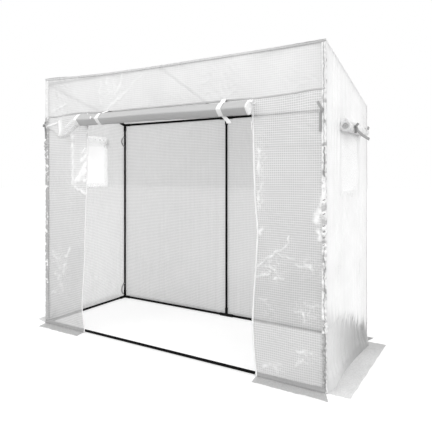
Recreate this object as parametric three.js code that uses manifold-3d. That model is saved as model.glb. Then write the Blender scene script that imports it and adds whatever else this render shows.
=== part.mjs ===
// A small walk-in film greenhouse, taller at the front. Round steel tubes push into plastic connectors,
// and a sewn cover of reinforced film goes over them, with skirts that lie on the ground. The door and
// the flap over each side window are rolled up and tied.
// Millimetres, +Z up. The origin is on the ground at the middle of the footprint, and the door faces -Y.

import * as THREE from 'three';
import { mergeVertices } from 'three/addons/utils/BufferGeometryUtils.js';
import Module from 'manifold-3d';

const wasm = await Module();
wasm.setup();

// Outside of the cover
const WIDTH = 2000;
const DEPTH = 800;
const FRONT_HEIGHT = 1680;
const BACK_HEIGHT = 1460;
const FILM = 0.5;

// Gap between pieces that touch
const FIT = 0.3;

// Frame tubes
const TUBE_DIAMETER = 16;
const TUBE_WALL = 0.6;
const SWAGE_LENGTH = 60;
const SWAGE_TAPER = 5;
const POST_JOINT_HEIGHT = 800;
const ROUND_SIDES = 12;

// Push-fit connectors
const SOCKET_WALL = 2.6;
const SOCKET_DEPTH = 38;
const SOCKET_FLOOR = 14;

// Front of the cover
const HEADER_BOTTOM = 1430;
const PANEL_COLUMNS = 8;
const PANEL_ROWS = 16;
const FOLDS = 2;
const FOLD_DEPTH = 9;
const SWAG_DEPTH = 10;
const SWAG_LOW = 1310;
const SWAG_RISE = 85;
const SWAG_SPREAD = 32;

// Each zip's course: its place at the header, its lean towards the ground and its ripple
const LEFT_ZIP = { top: 589, lean: 49, ripple: 8, crest: 180, wave: 560 };
const RIGHT_ZIP = { top: 613, lean: 6, ripple: 14, crest: 790, wave: 820 };
const TAPE_WIDTH = 15;
const TAPE_THICKNESS = 1;
const TAPE_OVERHANG = 5;
const TAPE_ROWS = 24;

// Zip slider, at rest just under the rolled door
const SLIDER_HEIGHT_ABOVE_GROUND = 1300;
const SLIDER_WIDTH = 11;
const SLIDER_LENGTH = 20;
const SLIDER_BODY = 2.6;
const SLIDER_PULL_LENGTH = 28;
const SLIDER_PULL_WIDTH = 6;
const SLIDER_PULL = 1.2;

// Rolled door
const DOOR_ROLL_RADIUS = 37.5;
const DOOR_ROLL_CORE = 7;
const DOOR_ROLL_TURNS = 6;
const DOOR_ROLL_FILM = 0.8;
const DOOR_ROLL_HEIGHT = 1383;
const DOOR_ROLL_GAP = 7.5;
const DOOR_ROLL_LEFT = 632;
const DOOR_ROLL_RIGHT = 617;
const DOOR_SHEET_MARGIN = 12;
const ROLL_STEPS = 16;

// Side windows
const WINDOW_MIDDLE = 20;
const WINDOW_WIDTH = 320;
const WINDOW_SILL = 950;
const WINDOW_HEIGHT = 350;
const NET_BORDER = 20;
const NET_COLUMNS = 8;
const NET_ROWS = 9;
const NET_STRAND = 5;
const FLAP_ROLL_RADIUS = 27;
const FLAP_ROLL_CORE = 15;
const FLAP_ROLL_TURNS = 4;
const FLAP_ROLL_GAP = 3;
const FLAP_ROLL_HEIGHT = 1285;
const FLAP_WIDTH = 400;
const FLAP_HEM_HEIGHT = 1330;

// Hem tapes and ribbon ties
const RIBBON = 0.8;
const HEM_TAPE = 12;
const DOOR_TIE_WIDTH = 16;
const DOOR_TIE_PLACES = [-408, 465];
const DOOR_TIE_TAIL = 32;
const FLAP_TIE_WIDTH = 10;
const FLAP_TIE_PLACES = [-45, 180];
const FLAP_TIE_TAIL = 18;
const ARC_STEPS = 14;

// Skirts on the ground
const SIDE_SKIRT = 115;
const FRONT_SKIRT = 85;
const BACK_SKIRT = 85;

// Sizes that follow from those above
const tubeRadius = TUBE_DIAMETER / 2;
const tubeBore = tubeRadius - TUBE_WALL;
const swageRadius = tubeBore - FIT;
const socketBore = tubeRadius + FIT;
const socketRadius = socketBore + SOCKET_WALL;
const flatShare = Math.cos(Math.PI / ROUND_SIDES);
const filmToCentre = FILM + FIT + socketRadius;
const frameX = WIDTH / 2 - filmToCentre;
const frameY = DEPTH / 2 - filmToCentre;
const baseHeight = socketRadius * flatShare;
const legLength = SOCKET_FLOOR + SOCKET_DEPTH;
const fall = (FRONT_HEIGHT - BACK_HEIGHT) / DEPTH;
const slope = Math.atan(fall);
const panelFoot = FILM + FIT;
const rollY = -DEPTH / 2 - DOOR_ROLL_GAP - DOOR_ROLL_RADIUS;
const windowStart = WINDOW_MIDDLE - WINDOW_WIDTH / 2;
const windowTop = WINDOW_SILL + WINDOW_HEIGHT;
const flapStart = WINDOW_MIDDLE - FLAP_WIDTH / 2;
const flapEnd = WINDOW_MIDDLE + FLAP_WIDTH / 2;

// Materials
const steel = new THREE.MeshStandardMaterial({ color: 0x0b0c0c, roughness: 0.42, metalness: 0.35 });
const plastic = new THREE.MeshStandardMaterial({ color: 0x101111, roughness: 0.55, metalness: 0 });
const film = new THREE.MeshStandardMaterial({
  color: 0xeef1ef,
  roughness: 0.4,
  metalness: 0,
  transparent: true,
  opacity: 0.72,
  side: THREE.DoubleSide,
});
const netting = new THREE.MeshStandardMaterial({ color: 0xf4f5f4, roughness: 0.7, metalness: 0 });
const zipFabric = new THREE.MeshStandardMaterial({ color: 0xf6f6f4, roughness: 0.75, metalness: 0 });
const zipMetal = new THREE.MeshStandardMaterial({ color: 0x9b9d9d, roughness: 0.35, metalness: 0.9 });
const whiteRibbon = new THREE.MeshStandardMaterial({ color: 0xf8f8f7, roughness: 0.8, metalness: 0 });
const greyRibbon = new THREE.MeshStandardMaterial({ color: 0x858786, roughness: 0.8, metalness: 0 });

const greenhouse = new THREE.Group();

const axisX = new THREE.Vector3(1, 0, 0);
const axisY = new THREE.Vector3(0, 1, 0);
const axisZ = new THREE.Vector3(0, 0, 1);

const outlineYZ = new THREE.Matrix4().makeBasis(axisY, axisZ, axisX);
const outlineXZ = new THREE.Matrix4().makeBasis(axisX, axisZ, axisY.clone().negate());

function add(name, geometry, material, position = new THREE.Vector3()) {
  const mesh = new THREE.Mesh(geometry, material);
  mesh.name = name;
  mesh.position.copy(position);
  greenhouse.add(mesh);
  return mesh;
}

function at(x, y, z) {
  return new THREE.Vector3(x, y, z);
}

function extrude(shape, depth) {
  return new THREE.ExtrudeGeometry(shape, { depth, steps: 1, bevelEnabled: false });
}

// An outline drawn across Y and Z that runs from one X to another
function alongX(shape, start, end) {
  return extrude(shape, end - start).applyMatrix4(outlineYZ).translate(start, 0, 0);
}

// An outline drawn across X and Z that runs from one Y to another
function alongY(shape, start, end) {
  return extrude(shape, end - start).applyMatrix4(outlineXZ).translate(0, end, 0);
}

function rectangle(left, bottom, right, top) {
  return new THREE.Shape([
    new THREE.Vector2(left, bottom),
    new THREE.Vector2(right, bottom),
    new THREE.Vector2(right, top),
    new THREE.Vector2(left, top),
  ]);
}

// Joins and cuts
function toSolid(geometry) {
  const bare = geometry.index ? geometry.toNonIndexed() : geometry.clone();
  bare.deleteAttribute('normal');
  bare.deleteAttribute('uv');
  const merged = mergeVertices(bare, 1e-4);
  return new wasm.Manifold(new wasm.Mesh({
    numProp: 3,
    vertProperties: new Float32Array(merged.attributes.position.array),
    triVerts: new Uint32Array(merged.index.array),
  }));
}

function toGeometry(solid) {
  const mesh = solid.getMesh();
  const geometry = new THREE.BufferGeometry();
  geometry.setAttribute('position', new THREE.BufferAttribute(new Float32Array(mesh.vertProperties), 3));
  geometry.setIndex(new THREE.BufferAttribute(new Uint32Array(mesh.triVerts), 1));
  geometry.computeVertexNormals();
  return geometry;
}

function joined(geometries) {
  return geometries.map(toSolid).reduce((whole, piece) => whole.add(piece));
}

// A turned piece along +Z, with a flat facing each axis. The profile holds pairs of radius and height.
function turned(profile) {
  const points = profile.map(([radius, height]) => new THREE.Vector2(radius, height));
  const geometry = new THREE.LatheGeometry(points, ROUND_SIDES, Math.PI / ROUND_SIDES);
  return geometry.rotateX(Math.PI / 2);
}

function rod(radius, start, end) {
  return turned([[0, start], [radius, start], [radius, end], [0, end]]);
}

function pointedAlong(geometry, direction) {
  const turn = new THREE.Quaternion().setFromUnitVectors(axisZ, direction);
  return geometry.applyQuaternion(turn);
}

// Frame
function roofTop(y) {
  return FRONT_HEIGHT - fall * (y + DEPTH / 2);
}

function roofUnderside(y) {
  return roofTop(y) - FILM / Math.cos(slope);
}

function railHeight(y) {
  return roofTop(y) - filmToCentre / Math.cos(slope);
}

const downRoof = at(0, Math.cos(slope), -Math.sin(slope));
const upRoof = downRoof.clone().negate();
const left = axisX.clone().negate();
const right = axisX;
const back = axisY;
const front = axisY.clone().negate();
const up = axisZ;
const down = axisZ.clone().negate();

function connector(name, hub, legs) {
  const ball = new THREE.SphereGeometry(socketRadius * flatShare, ROUND_SIDES, ROUND_SIDES / 2);
  const outside = [ball];
  const bores = [];
  for (const leg of legs) {
    outside.push(pointedAlong(rod(socketRadius, 0, legLength), leg));
    bores.push(pointedAlong(rod(socketBore, SOCKET_FLOOR, legLength + 1), leg));
  }
  const solid = bores.map(toSolid).reduce((whole, bore) => whole.subtract(bore), joined(outside));
  add(name, toGeometry(solid), plastic, hub);
}

function plainTube(length) {
  return turned([
    [tubeBore, 0],
    [tubeRadius, 0],
    [tubeRadius, length],
    [tubeBore, length],
    [tubeBore, 0],
  ]);
}

// Its thin end starts at height 0 and goes down inside the tube below it
function swagedTube(length) {
  const shoulder = SWAGE_LENGTH + SWAGE_TAPER;
  return turned([
    [swageRadius - TUBE_WALL, 0],
    [swageRadius, 0],
    [swageRadius, SWAGE_LENGTH],
    [tubeRadius, shoulder],
    [tubeRadius, length],
    [tubeBore, length],
    [tubeBore, shoulder],
    [swageRadius - TUBE_WALL, SWAGE_LENGTH],
    [swageRadius - TUBE_WALL, 0],
  ]);
}

// The two ends of the tubing that joins two hubs, each seated in its socket
function seats(hubA, hubB) {
  const direction = hubB.clone().sub(hubA).normalize();
  const start = hubA.clone().addScaledVector(direction, SOCKET_FLOOR + FIT);
  const end = hubB.clone().addScaledVector(direction, -SOCKET_FLOOR - FIT);
  return { direction, start, end };
}

function tube(name, hubA, hubB) {
  const { direction, start, end } = seats(hubA, hubB);
  add(name, pointedAlong(plainTube(start.distanceTo(end)), direction), steel, start);
}

function tubeInTwo(firstName, secondName, hubA, hubB, firstLength) {
  const { direction, start, end } = seats(hubA, hubB);
  add(firstName, pointedAlong(plainTube(firstLength), direction), steel, start);
  const thinEnd = start.clone().addScaledVector(direction, firstLength + FIT - SWAGE_LENGTH);
  add(secondName, pointedAlong(swagedTube(thinEnd.distanceTo(end)), direction), steel, thinEnd);
}

const frontRail = railHeight(-frameY);
const backRail = railHeight(frameY);
const hubs = {
  frontLeftBase: at(-frameX, -frameY, baseHeight),
  frontRightBase: at(frameX, -frameY, baseHeight),
  backLeftBase: at(-frameX, frameY, baseHeight),
  backRightBase: at(frameX, frameY, baseHeight),
  backCentreBase: at(0, frameY, baseHeight),
  frontLeftTop: at(-frameX, -frameY, frontRail),
  frontRightTop: at(frameX, -frameY, frontRail),
  frontCentreTop: at(0, -frameY, frontRail),
  backLeftTop: at(-frameX, frameY, backRail),
  backRightTop: at(frameX, frameY, backRail),
  backCentreTop: at(0, frameY, backRail),
};

connector('base_corner_front_left', hubs.frontLeftBase, [right, back, up]);
connector('base_corner_front_right', hubs.frontRightBase, [left, back, up]);
connector('base_corner_back_left', hubs.backLeftBase, [right, front, up]);
connector('base_corner_back_right', hubs.backRightBase, [left, front, up]);
connector('base_tee_back', hubs.backCentreBase, [left, right, up]);
connector('top_corner_front_left', hubs.frontLeftTop, [right, down, downRoof]);
connector('top_corner_front_right', hubs.frontRightTop, [left, down, downRoof]);
connector('top_corner_back_left', hubs.backLeftTop, [right, down, upRoof]);
connector('top_corner_back_right', hubs.backRightTop, [left, down, upRoof]);
connector('top_tee_front', hubs.frontCentreTop, [left, right, downRoof]);
connector('top_cross_back', hubs.backCentreTop, [left, right, down, upRoof]);

tube('base_tube_front', hubs.frontLeftBase, hubs.frontRightBase);
tube('base_tube_back_left', hubs.backLeftBase, hubs.backCentreBase);
tube('base_tube_back_right', hubs.backCentreBase, hubs.backRightBase);
tube('base_tube_side_left', hubs.frontLeftBase, hubs.backLeftBase);
tube('base_tube_side_right', hubs.frontRightBase, hubs.backRightBase);
tube('top_tube_front_left', hubs.frontLeftTop, hubs.frontCentreTop);
tube('top_tube_front_right', hubs.frontCentreTop, hubs.frontRightTop);
tube('top_tube_back_left', hubs.backLeftTop, hubs.backCentreTop);
tube('top_tube_back_right', hubs.backCentreTop, hubs.backRightTop);
tube('roof_tube_left', hubs.frontLeftTop, hubs.backLeftTop);
tube('roof_tube_centre', hubs.frontCentreTop, hubs.backCentreTop);
tube('roof_tube_right', hubs.frontRightTop, hubs.backRightTop);

const posts = {
  front_left: [hubs.frontLeftBase, hubs.frontLeftTop],
  front_right: [hubs.frontRightBase, hubs.frontRightTop],
  back_left: [hubs.backLeftBase, hubs.backLeftTop],
  back_right: [hubs.backRightBase, hubs.backRightTop],
  back_centre: [hubs.backCentreBase, hubs.backCentreTop],
};
const lowerPostLength = POST_JOINT_HEIGHT - baseHeight - SOCKET_FLOOR - FIT;
for (const [place, [foot, head]] of Object.entries(posts)) {
  tubeInTwo(`post_lower_${place}`, `post_upper_${place}`, foot, head, lowerPostLength);
}

// Flat panels of the cover
function roofPanel() {
  const frontY = -DEPTH / 2;
  const backY = DEPTH / 2;
  const section = new THREE.Shape([
    new THREE.Vector2(frontY, roofUnderside(frontY)),
    new THREE.Vector2(backY, roofUnderside(backY)),
    new THREE.Vector2(backY, roofTop(backY)),
    new THREE.Vector2(frontY, roofTop(frontY)),
  ]);
  add('roof_panel', alongX(section, -WIDTH / 2, WIDTH / 2), film);
}

function backWall() {
  const top = roofUnderside(DEPTH / 2) - FIT;
  const outline = rectangle(-WIDTH / 2, panelFoot, WIDTH / 2, top);
  add('back_wall', alongY(outline, DEPTH / 2 - FILM, DEPTH / 2), film);
}

function frontHeader() {
  const top = roofUnderside(-DEPTH / 2 + FILM) - FIT;
  const outline = rectangle(-WIDTH / 2, HEADER_BOTTOM, WIDTH / 2, top);
  add('front_header', alongY(outline, -DEPTH / 2, -DEPTH / 2 + FILM), film);
}

function sideWall(name, side) {
  const edge = DEPTH / 2 - FILM - FIT;
  const outline = new THREE.Shape([
    new THREE.Vector2(-edge, panelFoot),
    new THREE.Vector2(edge, panelFoot),
    new THREE.Vector2(edge, roofUnderside(edge) - FIT),
    new THREE.Vector2(-edge, roofUnderside(-edge) - FIT),
  ]);
  outline.holes.push(rectangle(windowStart, WINDOW_SILL, windowStart + WINDOW_WIDTH, windowTop));
  const x = side > 0 ? WIDTH / 2 - FILM : -WIDTH / 2;
  add(name, alongX(outline, x, x + FILM), film);
}

// Edges of strands and gaps in turn, with a border on both sides
function netLines(middle, size, count) {
  const gap = (size - NET_STRAND * (count + 1)) / count;
  const lines = [middle - size / 2 - NET_BORDER];
  for (let i = 0; i < count; i++) {
    const gapStart = middle - size / 2 + NET_STRAND + i * (gap + NET_STRAND);
    lines.push(gapStart, gapStart + gap);
  }
  lines.push(middle + size / 2 + NET_BORDER);
  return lines;
}

// A flat net across Y and Z, FILM thick along +X. Every second cell of the grid, both ways, is a gap.
function netPlate(ys, zs) {
  const positions = [];
  const corner = (i, j, layer) => [layer * FILM, ys[i], zs[j]];
  const quad = (a, b, c, d) => positions.push(...a, ...b, ...c, ...a, ...c, ...d);
  const inside = (i, j) => i >= 0 && j >= 0 && i < ys.length - 1 && j < zs.length - 1;
  const isSolid = (i, j) => inside(i, j) && !(i % 2 === 1 && j % 2 === 1);
  for (let i = 0; i < ys.length - 1; i++) {
    for (let j = 0; j < zs.length - 1; j++) {
      if (!isSolid(i, j)) continue;
      quad(corner(i, j, 1), corner(i + 1, j, 1), corner(i + 1, j + 1, 1), corner(i, j + 1, 1));
      quad(corner(i, j, 0), corner(i, j + 1, 0), corner(i + 1, j + 1, 0), corner(i + 1, j, 0));
      if (!isSolid(i - 1, j)) quad(corner(i, j, 0), corner(i, j, 1), corner(i, j + 1, 1), corner(i, j + 1, 0));
      if (!isSolid(i + 1, j)) {
        quad(corner(i + 1, j, 0), corner(i + 1, j + 1, 0), corner(i + 1, j + 1, 1), corner(i + 1, j, 1));
      }
      if (!isSolid(i, j - 1)) quad(corner(i, j, 0), corner(i + 1, j, 0), corner(i + 1, j, 1), corner(i, j, 1));
      if (!isSolid(i, j + 1)) {
        quad(corner(i, j + 1, 0), corner(i, j + 1, 1), corner(i + 1, j + 1, 1), corner(i + 1, j + 1, 0));
      }
    }
  }
  const geometry = new THREE.BufferGeometry();
  geometry.setAttribute('position', new THREE.Float32BufferAttribute(positions, 3));
  geometry.computeVertexNormals();
  return geometry;
}

// The net is sewn to the inside of the wall, over the window hole
function windowNet(name, side) {
  const ys = netLines(WINDOW_MIDDLE, WINDOW_WIDTH, NET_COLUMNS);
  const zs = netLines(WINDOW_SILL + WINDOW_HEIGHT / 2, WINDOW_HEIGHT, NET_ROWS);
  const inset = FILM + FIT;
  const x = side > 0 ? WIDTH / 2 - inset - FILM : -WIDTH / 2 + inset;
  add(name, netPlate(ys, zs), netting, at(x, 0, 0));
}

roofPanel();
backWall();
frontHeader();
sideWall('side_wall_left', -1);
sideWall('side_wall_right', 1);
windowNet('window_net_left', -1);
windowNet('window_net_right', 1);

// Hanging front panels and zips
function zipCourse(zip, z) {
  const fromTop = 1 - z / HEADER_BOTTOM;
  const fade = Math.min(1, 2 * fromTop);
  const ripple = zip.ripple * fade * Math.cos(2 * Math.PI * (z - zip.crest) / zip.wave);
  return zip.top + zip.lean * fromTop + ripple;
}

// A closed sheet from a face that looks along -Y, with u running along +X and v along +Z
function hangingSheet(columns, rows, thickness, pointAt) {
  const positions = [];
  for (const offset of [0, thickness]) {
    for (let row = 0; row <= rows; row++) {
      for (let column = 0; column <= columns; column++) {
        const point = pointAt(column / columns, row / rows);
        positions.push(point.x, point.y + offset, point.z);
      }
    }
  }
  const layer = (columns + 1) * (rows + 1);
  const outer = (column, row) => row * (columns + 1) + column;
  const inner = (column, row) => outer(column, row) + layer;
  const index = [];
  const quad = (a, b, c, d) => index.push(a, b, c, a, c, d);
  for (let row = 0; row < rows; row++) {
    for (let column = 0; column < columns; column++) {
      quad(outer(column, row), outer(column + 1, row), outer(column + 1, row + 1), outer(column, row + 1));
      quad(inner(column, row), inner(column, row + 1), inner(column + 1, row + 1), inner(column + 1, row));
    }
    quad(outer(0, row), outer(0, row + 1), inner(0, row + 1), inner(0, row));
    quad(outer(columns, row), inner(columns, row), inner(columns, row + 1), outer(columns, row + 1));
  }
  for (let column = 0; column < columns; column++) {
    quad(outer(column, 0), inner(column, 0), inner(column + 1, 0), outer(column + 1, 0));
    quad(outer(column, rows), outer(column + 1, rows), inner(column + 1, rows), inner(column, rows));
  }
  const geometry = new THREE.BufferGeometry();
  geometry.setAttribute('position', new THREE.Float32BufferAttribute(positions, 3));
  geometry.setIndex(index);
  geometry.computeVertexNormals();
  return geometry;
}

// Soft upright folds that sink inwards and die out at the edges. across is 0 at the corner post, 1 at the zip.
function foldDepth(across, z) {
  const alongHeight = Math.sin(Math.PI * z / HEADER_BOTTOM) ** 2;
  return FOLD_DEPTH * alongHeight * across * (0.5 - 0.5 * Math.cos(2 * Math.PI * FOLDS * across));
}

// The film that hangs in a swag between the corner and the end of the rolled door
function swagDepth(across, z) {
  const alongWidth = Math.min(1, across / 0.88);
  const middle = SWAG_LOW + SWAG_RISE * (2 * alongWidth - 1) ** 2;
  return SWAG_DEPTH * Math.sin(Math.PI * alongWidth) * Math.exp(-(((z - middle) / SWAG_SPREAD) ** 2));
}

const panelTop = HEADER_BOTTOM - FIT;

function frontPanel(name, side, zip, hasSwag) {
  const pointAt = (u, v) => {
    const z = panelFoot + (panelTop - panelFoot) * v;
    const across = side < 0 ? u : 1 - u;
    const x = side * (WIDTH / 2 + (zipCourse(zip, z) - WIDTH / 2) * across);
    const swag = hasSwag ? swagDepth(across, z) : 0;
    return at(x, -DEPTH / 2 + foldDepth(across, z) - swag, z);
  };
  add(name, hangingSheet(PANEL_COLUMNS, PANEL_ROWS, FILM, pointAt), film);
}

function zipTape(name, side, zip) {
  const pointAt = (u, v) => {
    const z = panelFoot + (panelTop - panelFoot) * v;
    const fromEdge = side < 0 ? TAPE_OVERHANG - TAPE_WIDTH * (1 - u) : TAPE_OVERHANG - TAPE_WIDTH * u;
    return at(side * (zipCourse(zip, z) - fromEdge), -DEPTH / 2 - FIT - TAPE_THICKNESS, z);
  };
  add(name, hangingSheet(1, TAPE_ROWS, TAPE_THICKNESS, pointAt), zipFabric);
}

// Slider body, its bridge and the pull that hangs from it
function zipSlider(name, side, zip) {
  const half = SLIDER_WIDTH / 2;
  const body = new THREE.Shape([
    new THREE.Vector2(-half * 0.65, -SLIDER_LENGTH / 2),
    new THREE.Vector2(half * 0.65, -SLIDER_LENGTH / 2),
    new THREE.Vector2(half, SLIDER_LENGTH * 0.1),
    new THREE.Vector2(half * 0.8, SLIDER_LENGTH / 2),
    new THREE.Vector2(-half * 0.8, SLIDER_LENGTH / 2),
    new THREE.Vector2(-half, SLIDER_LENGTH * 0.1),
  ]);
  const bridge = rectangle(-half * 0.3, -SLIDER_LENGTH * 0.3, half * 0.3, SLIDER_LENGTH * 0.3);
  const pullTop = -SLIDER_LENGTH * 0.2;
  const pull = rectangle(-SLIDER_PULL_WIDTH / 2, pullTop - SLIDER_PULL_LENGTH, SLIDER_PULL_WIDTH / 2, pullTop);
  const bridgeDepth = SLIDER_BODY + FIT + SLIDER_PULL;
  const solid = joined([
    alongY(body, -SLIDER_BODY, 0),
    alongY(bridge, -bridgeDepth, 0),
    alongY(pull, -bridgeDepth, -SLIDER_BODY - FIT),
  ]);
  const x = side * zipCourse(zip, SLIDER_HEIGHT_ABOVE_GROUND);
  const y = -DEPTH / 2 - FIT - TAPE_THICKNESS - FIT;
  add(name, toGeometry(solid), zipMetal, at(x, y, SLIDER_HEIGHT_ABOVE_GROUND));
}

frontPanel('front_panel_left', -1, LEFT_ZIP, true);
frontPanel('front_panel_right', 1, RIGHT_ZIP, false);
zipTape('zip_tape_left', -1, LEFT_ZIP);
zipTape('zip_tape_right', 1, RIGHT_ZIP);
zipSlider('zip_slider_left', -1, LEFT_ZIP);
zipSlider('zip_slider_right', 1, RIGHT_ZIP);

// Rolls of film and the strips that they hang from
function rolledFilm(coreRadius, outerRadius, turns, thickness, facing) {
  const steps = Math.round(turns * ROLL_STEPS);
  const outside = [];
  const inside = [];
  for (let step = 0; step <= steps; step++) {
    const share = step / steps;
    const angle = share * turns * 2 * Math.PI;
    const radius = coreRadius + (outerRadius - coreRadius) * share;
    const direction = new THREE.Vector2(facing * Math.cos(angle), Math.sin(angle));
    outside.push(direction.clone().multiplyScalar(radius));
    inside.push(direction.clone().multiplyScalar(radius - thickness));
  }
  return new THREE.Shape([...outside, ...inside.reverse()]);
}

// A band of even thickness along a path
function band(path, thickness) {
  const one = [];
  const other = [];
  path.forEach((point, i) => {
    const before = path[Math.max(0, i - 1)];
    const after = path[Math.min(path.length - 1, i + 1)];
    const along = after.clone().sub(before).normalize();
    const across = new THREE.Vector2(-along.y, along.x).multiplyScalar(thickness / 2);
    one.push(point.clone().add(across));
    other.push(point.clone().sub(across));
  });
  return new THREE.Shape([...one, ...other.reverse()]);
}

// The path of a ribbon that starts at a seam, goes round the far side of a roll and hangs below it.
// wallSide is +1 where the wall is at greater values than the roll.
function tiePath(centre, radius, wallSide, seam, tail) {
  const path = [seam];
  const start = THREE.MathUtils.degToRad(80);
  const end = THREE.MathUtils.degToRad(290);
  for (let step = 0; step <= ARC_STEPS; step++) {
    const angle = start + (end - start) * step / ARC_STEPS;
    path.push(new THREE.Vector2(
      centre.x + wallSide * radius * Math.cos(angle),
      centre.y + radius * Math.sin(angle),
    ));
  }
  const last = path[path.length - 1];
  path.push(new THREE.Vector2(last.x + wallSide * tail * 0.3, last.y - tail));
  return path;
}

// A tape along a seam and the ribbons sewn under it. run is alongX or alongY, and seam is the tape's middle.
function tapeWithTies(run, seam, start, end, path, tieWidth, places) {
  const tape = rectangle(seam.x - RIBBON / 2, seam.y - HEM_TAPE / 2, seam.x + RIBBON / 2, seam.y + HEM_TAPE / 2);
  const ties = places.map((place) => run(band(path, RIBBON), place - tieWidth / 2, place + tieWidth / 2));
  return toGeometry(joined([run(tape, start, end), ...ties]));
}

function rolledDoor() {
  const centre = new THREE.Vector2(rollY, DOOR_ROLL_HEIGHT);
  const section = rolledFilm(DOOR_ROLL_CORE, DOOR_ROLL_RADIUS, DOOR_ROLL_TURNS, DOOR_ROLL_FILM, 1);
  add('door_roll', alongX(section, -DOOR_ROLL_LEFT, DOOR_ROLL_RIGHT), film, at(0, centre.x, centre.y));

  const sheetY = -DEPTH / 2 - FIT - FILM / 2;
  const strip = band([
    new THREE.Vector2(sheetY, HEADER_BOTTOM + HEM_TAPE / 2),
    new THREE.Vector2(sheetY, HEADER_BOTTOM - HEM_TAPE / 2),
    new THREE.Vector2(rollY + DOOR_ROLL_RADIUS + FIT + FILM / 2, DOOR_ROLL_HEIGHT),
  ], FILM);
  const sheetLeft = -LEFT_ZIP.top + DOOR_SHEET_MARGIN;
  const sheetRight = RIGHT_ZIP.top - DOOR_SHEET_MARGIN;
  add('door_sheet', alongX(strip, sheetLeft, sheetRight), film);

  const seam = new THREE.Vector2(sheetY - FILM / 2 - FIT - RIBBON / 2, HEADER_BOTTOM);
  const path = tiePath(centre, DOOR_ROLL_RADIUS + FIT + RIBBON / 2, 1, seam, DOOR_TIE_TAIL);
  const ties = tapeWithTies(alongX, seam, sheetLeft, sheetRight, path, DOOR_TIE_WIDTH, DOOR_TIE_PLACES);
  add('door_hem_ties', ties, whiteRibbon);
}

function rolledFlap(place, side) {
  const wallSide = -side;
  const centre = new THREE.Vector2(side * (WIDTH / 2 + FLAP_ROLL_GAP + FLAP_ROLL_RADIUS), FLAP_ROLL_HEIGHT);
  const section = rolledFilm(FLAP_ROLL_CORE, FLAP_ROLL_RADIUS, FLAP_ROLL_TURNS, FILM, wallSide);
  const roll = alongY(section, flapStart, flapEnd);
  add(`flap_roll_${place}`, roll, film, at(centre.x, 0, centre.y));

  const sheetX = side * (WIDTH / 2 + FIT + FILM / 2);
  const strip = band([
    new THREE.Vector2(sheetX, FLAP_HEM_HEIGHT + HEM_TAPE / 2),
    new THREE.Vector2(sheetX, FLAP_HEM_HEIGHT - HEM_TAPE / 2),
    new THREE.Vector2(centre.x + wallSide * (FLAP_ROLL_RADIUS + FIT + FILM / 2), FLAP_ROLL_HEIGHT),
  ], FILM);
  add(`flap_sheet_${place}`, alongY(strip, flapStart, flapEnd), film);

  const seam = new THREE.Vector2(sheetX + side * (FILM / 2 + FIT + RIBBON / 2), FLAP_HEM_HEIGHT);
  const path = tiePath(centre, FLAP_ROLL_RADIUS + FIT + RIBBON / 2, wallSide, seam, FLAP_TIE_TAIL);
  const ties = tapeWithTies(alongY, seam, flapStart, flapEnd, path, FLAP_TIE_WIDTH, FLAP_TIE_PLACES);
  add(`flap_hem_ties_${place}`, ties, greyRibbon);
}

rolledDoor();
rolledFlap('left', -1);
rolledFlap('right', 1);

// Skirts that lie flat on the ground outside the walls
function skirt(name, x0, y0, x1, y1) {
  add(name, extrude(rectangle(x0, y0, x1, y1), FILM), film);
}

const sideStart = WIDTH / 2 + FIT;
const frontStart = DEPTH / 2 + FIT;
const sideReach = WIDTH / 2 + SIDE_SKIRT;
const frontReach = DEPTH / 2 + FRONT_SKIRT;
skirt('skirt_left', -sideReach, -DEPTH / 2, -sideStart, DEPTH / 2);
skirt('skirt_right', sideStart, -DEPTH / 2, sideReach, DEPTH / 2);
skirt('skirt_back', -WIDTH / 2, frontStart, WIDTH / 2, DEPTH / 2 + BACK_SKIRT);
skirt('skirt_front_left', -WIDTH / 2, -frontReach, -zipCourse(LEFT_ZIP, 0), -frontStart);
skirt('skirt_front_right', zipCourse(RIGHT_ZIP, 0), -frontReach, WIDTH / 2, -frontStart);

export default greenhouse;
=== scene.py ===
# Looks of a small walk-in film greenhouse. A black tube frame in push-fit connectors carries a sewn cover
# of white grid film, with a rolled door, two net windows under rolled flaps, and skirts on the ground.
# Metres, +Z up. The door faces -Y.

import math

import bmesh
import bpy
import numpy as np
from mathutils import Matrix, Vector


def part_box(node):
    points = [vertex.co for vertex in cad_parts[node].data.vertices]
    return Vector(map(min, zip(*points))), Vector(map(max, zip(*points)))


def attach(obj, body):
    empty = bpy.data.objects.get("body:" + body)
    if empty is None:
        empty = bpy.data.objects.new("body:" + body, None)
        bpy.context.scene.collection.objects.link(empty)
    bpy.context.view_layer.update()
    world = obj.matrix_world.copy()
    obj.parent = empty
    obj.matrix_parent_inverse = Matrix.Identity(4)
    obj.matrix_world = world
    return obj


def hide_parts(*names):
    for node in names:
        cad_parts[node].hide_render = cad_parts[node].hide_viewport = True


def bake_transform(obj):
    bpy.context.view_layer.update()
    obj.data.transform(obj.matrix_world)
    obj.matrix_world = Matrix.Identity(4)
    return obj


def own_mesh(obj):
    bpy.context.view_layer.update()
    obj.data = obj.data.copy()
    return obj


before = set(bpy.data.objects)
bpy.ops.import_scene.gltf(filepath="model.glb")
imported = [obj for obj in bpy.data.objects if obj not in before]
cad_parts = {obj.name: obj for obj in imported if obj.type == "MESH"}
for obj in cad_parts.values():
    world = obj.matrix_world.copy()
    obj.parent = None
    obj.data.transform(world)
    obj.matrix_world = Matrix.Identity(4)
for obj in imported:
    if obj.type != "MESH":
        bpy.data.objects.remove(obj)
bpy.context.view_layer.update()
ROOT = "frame_and_cover"
SIDES = {"left": -1, "right": 1}


# Places read from the CAD
def low(node):
    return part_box(node)[0]


def high(node):
    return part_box(node)[1]


def middle(node):
    return (low(node) + high(node)) / 2


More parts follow.
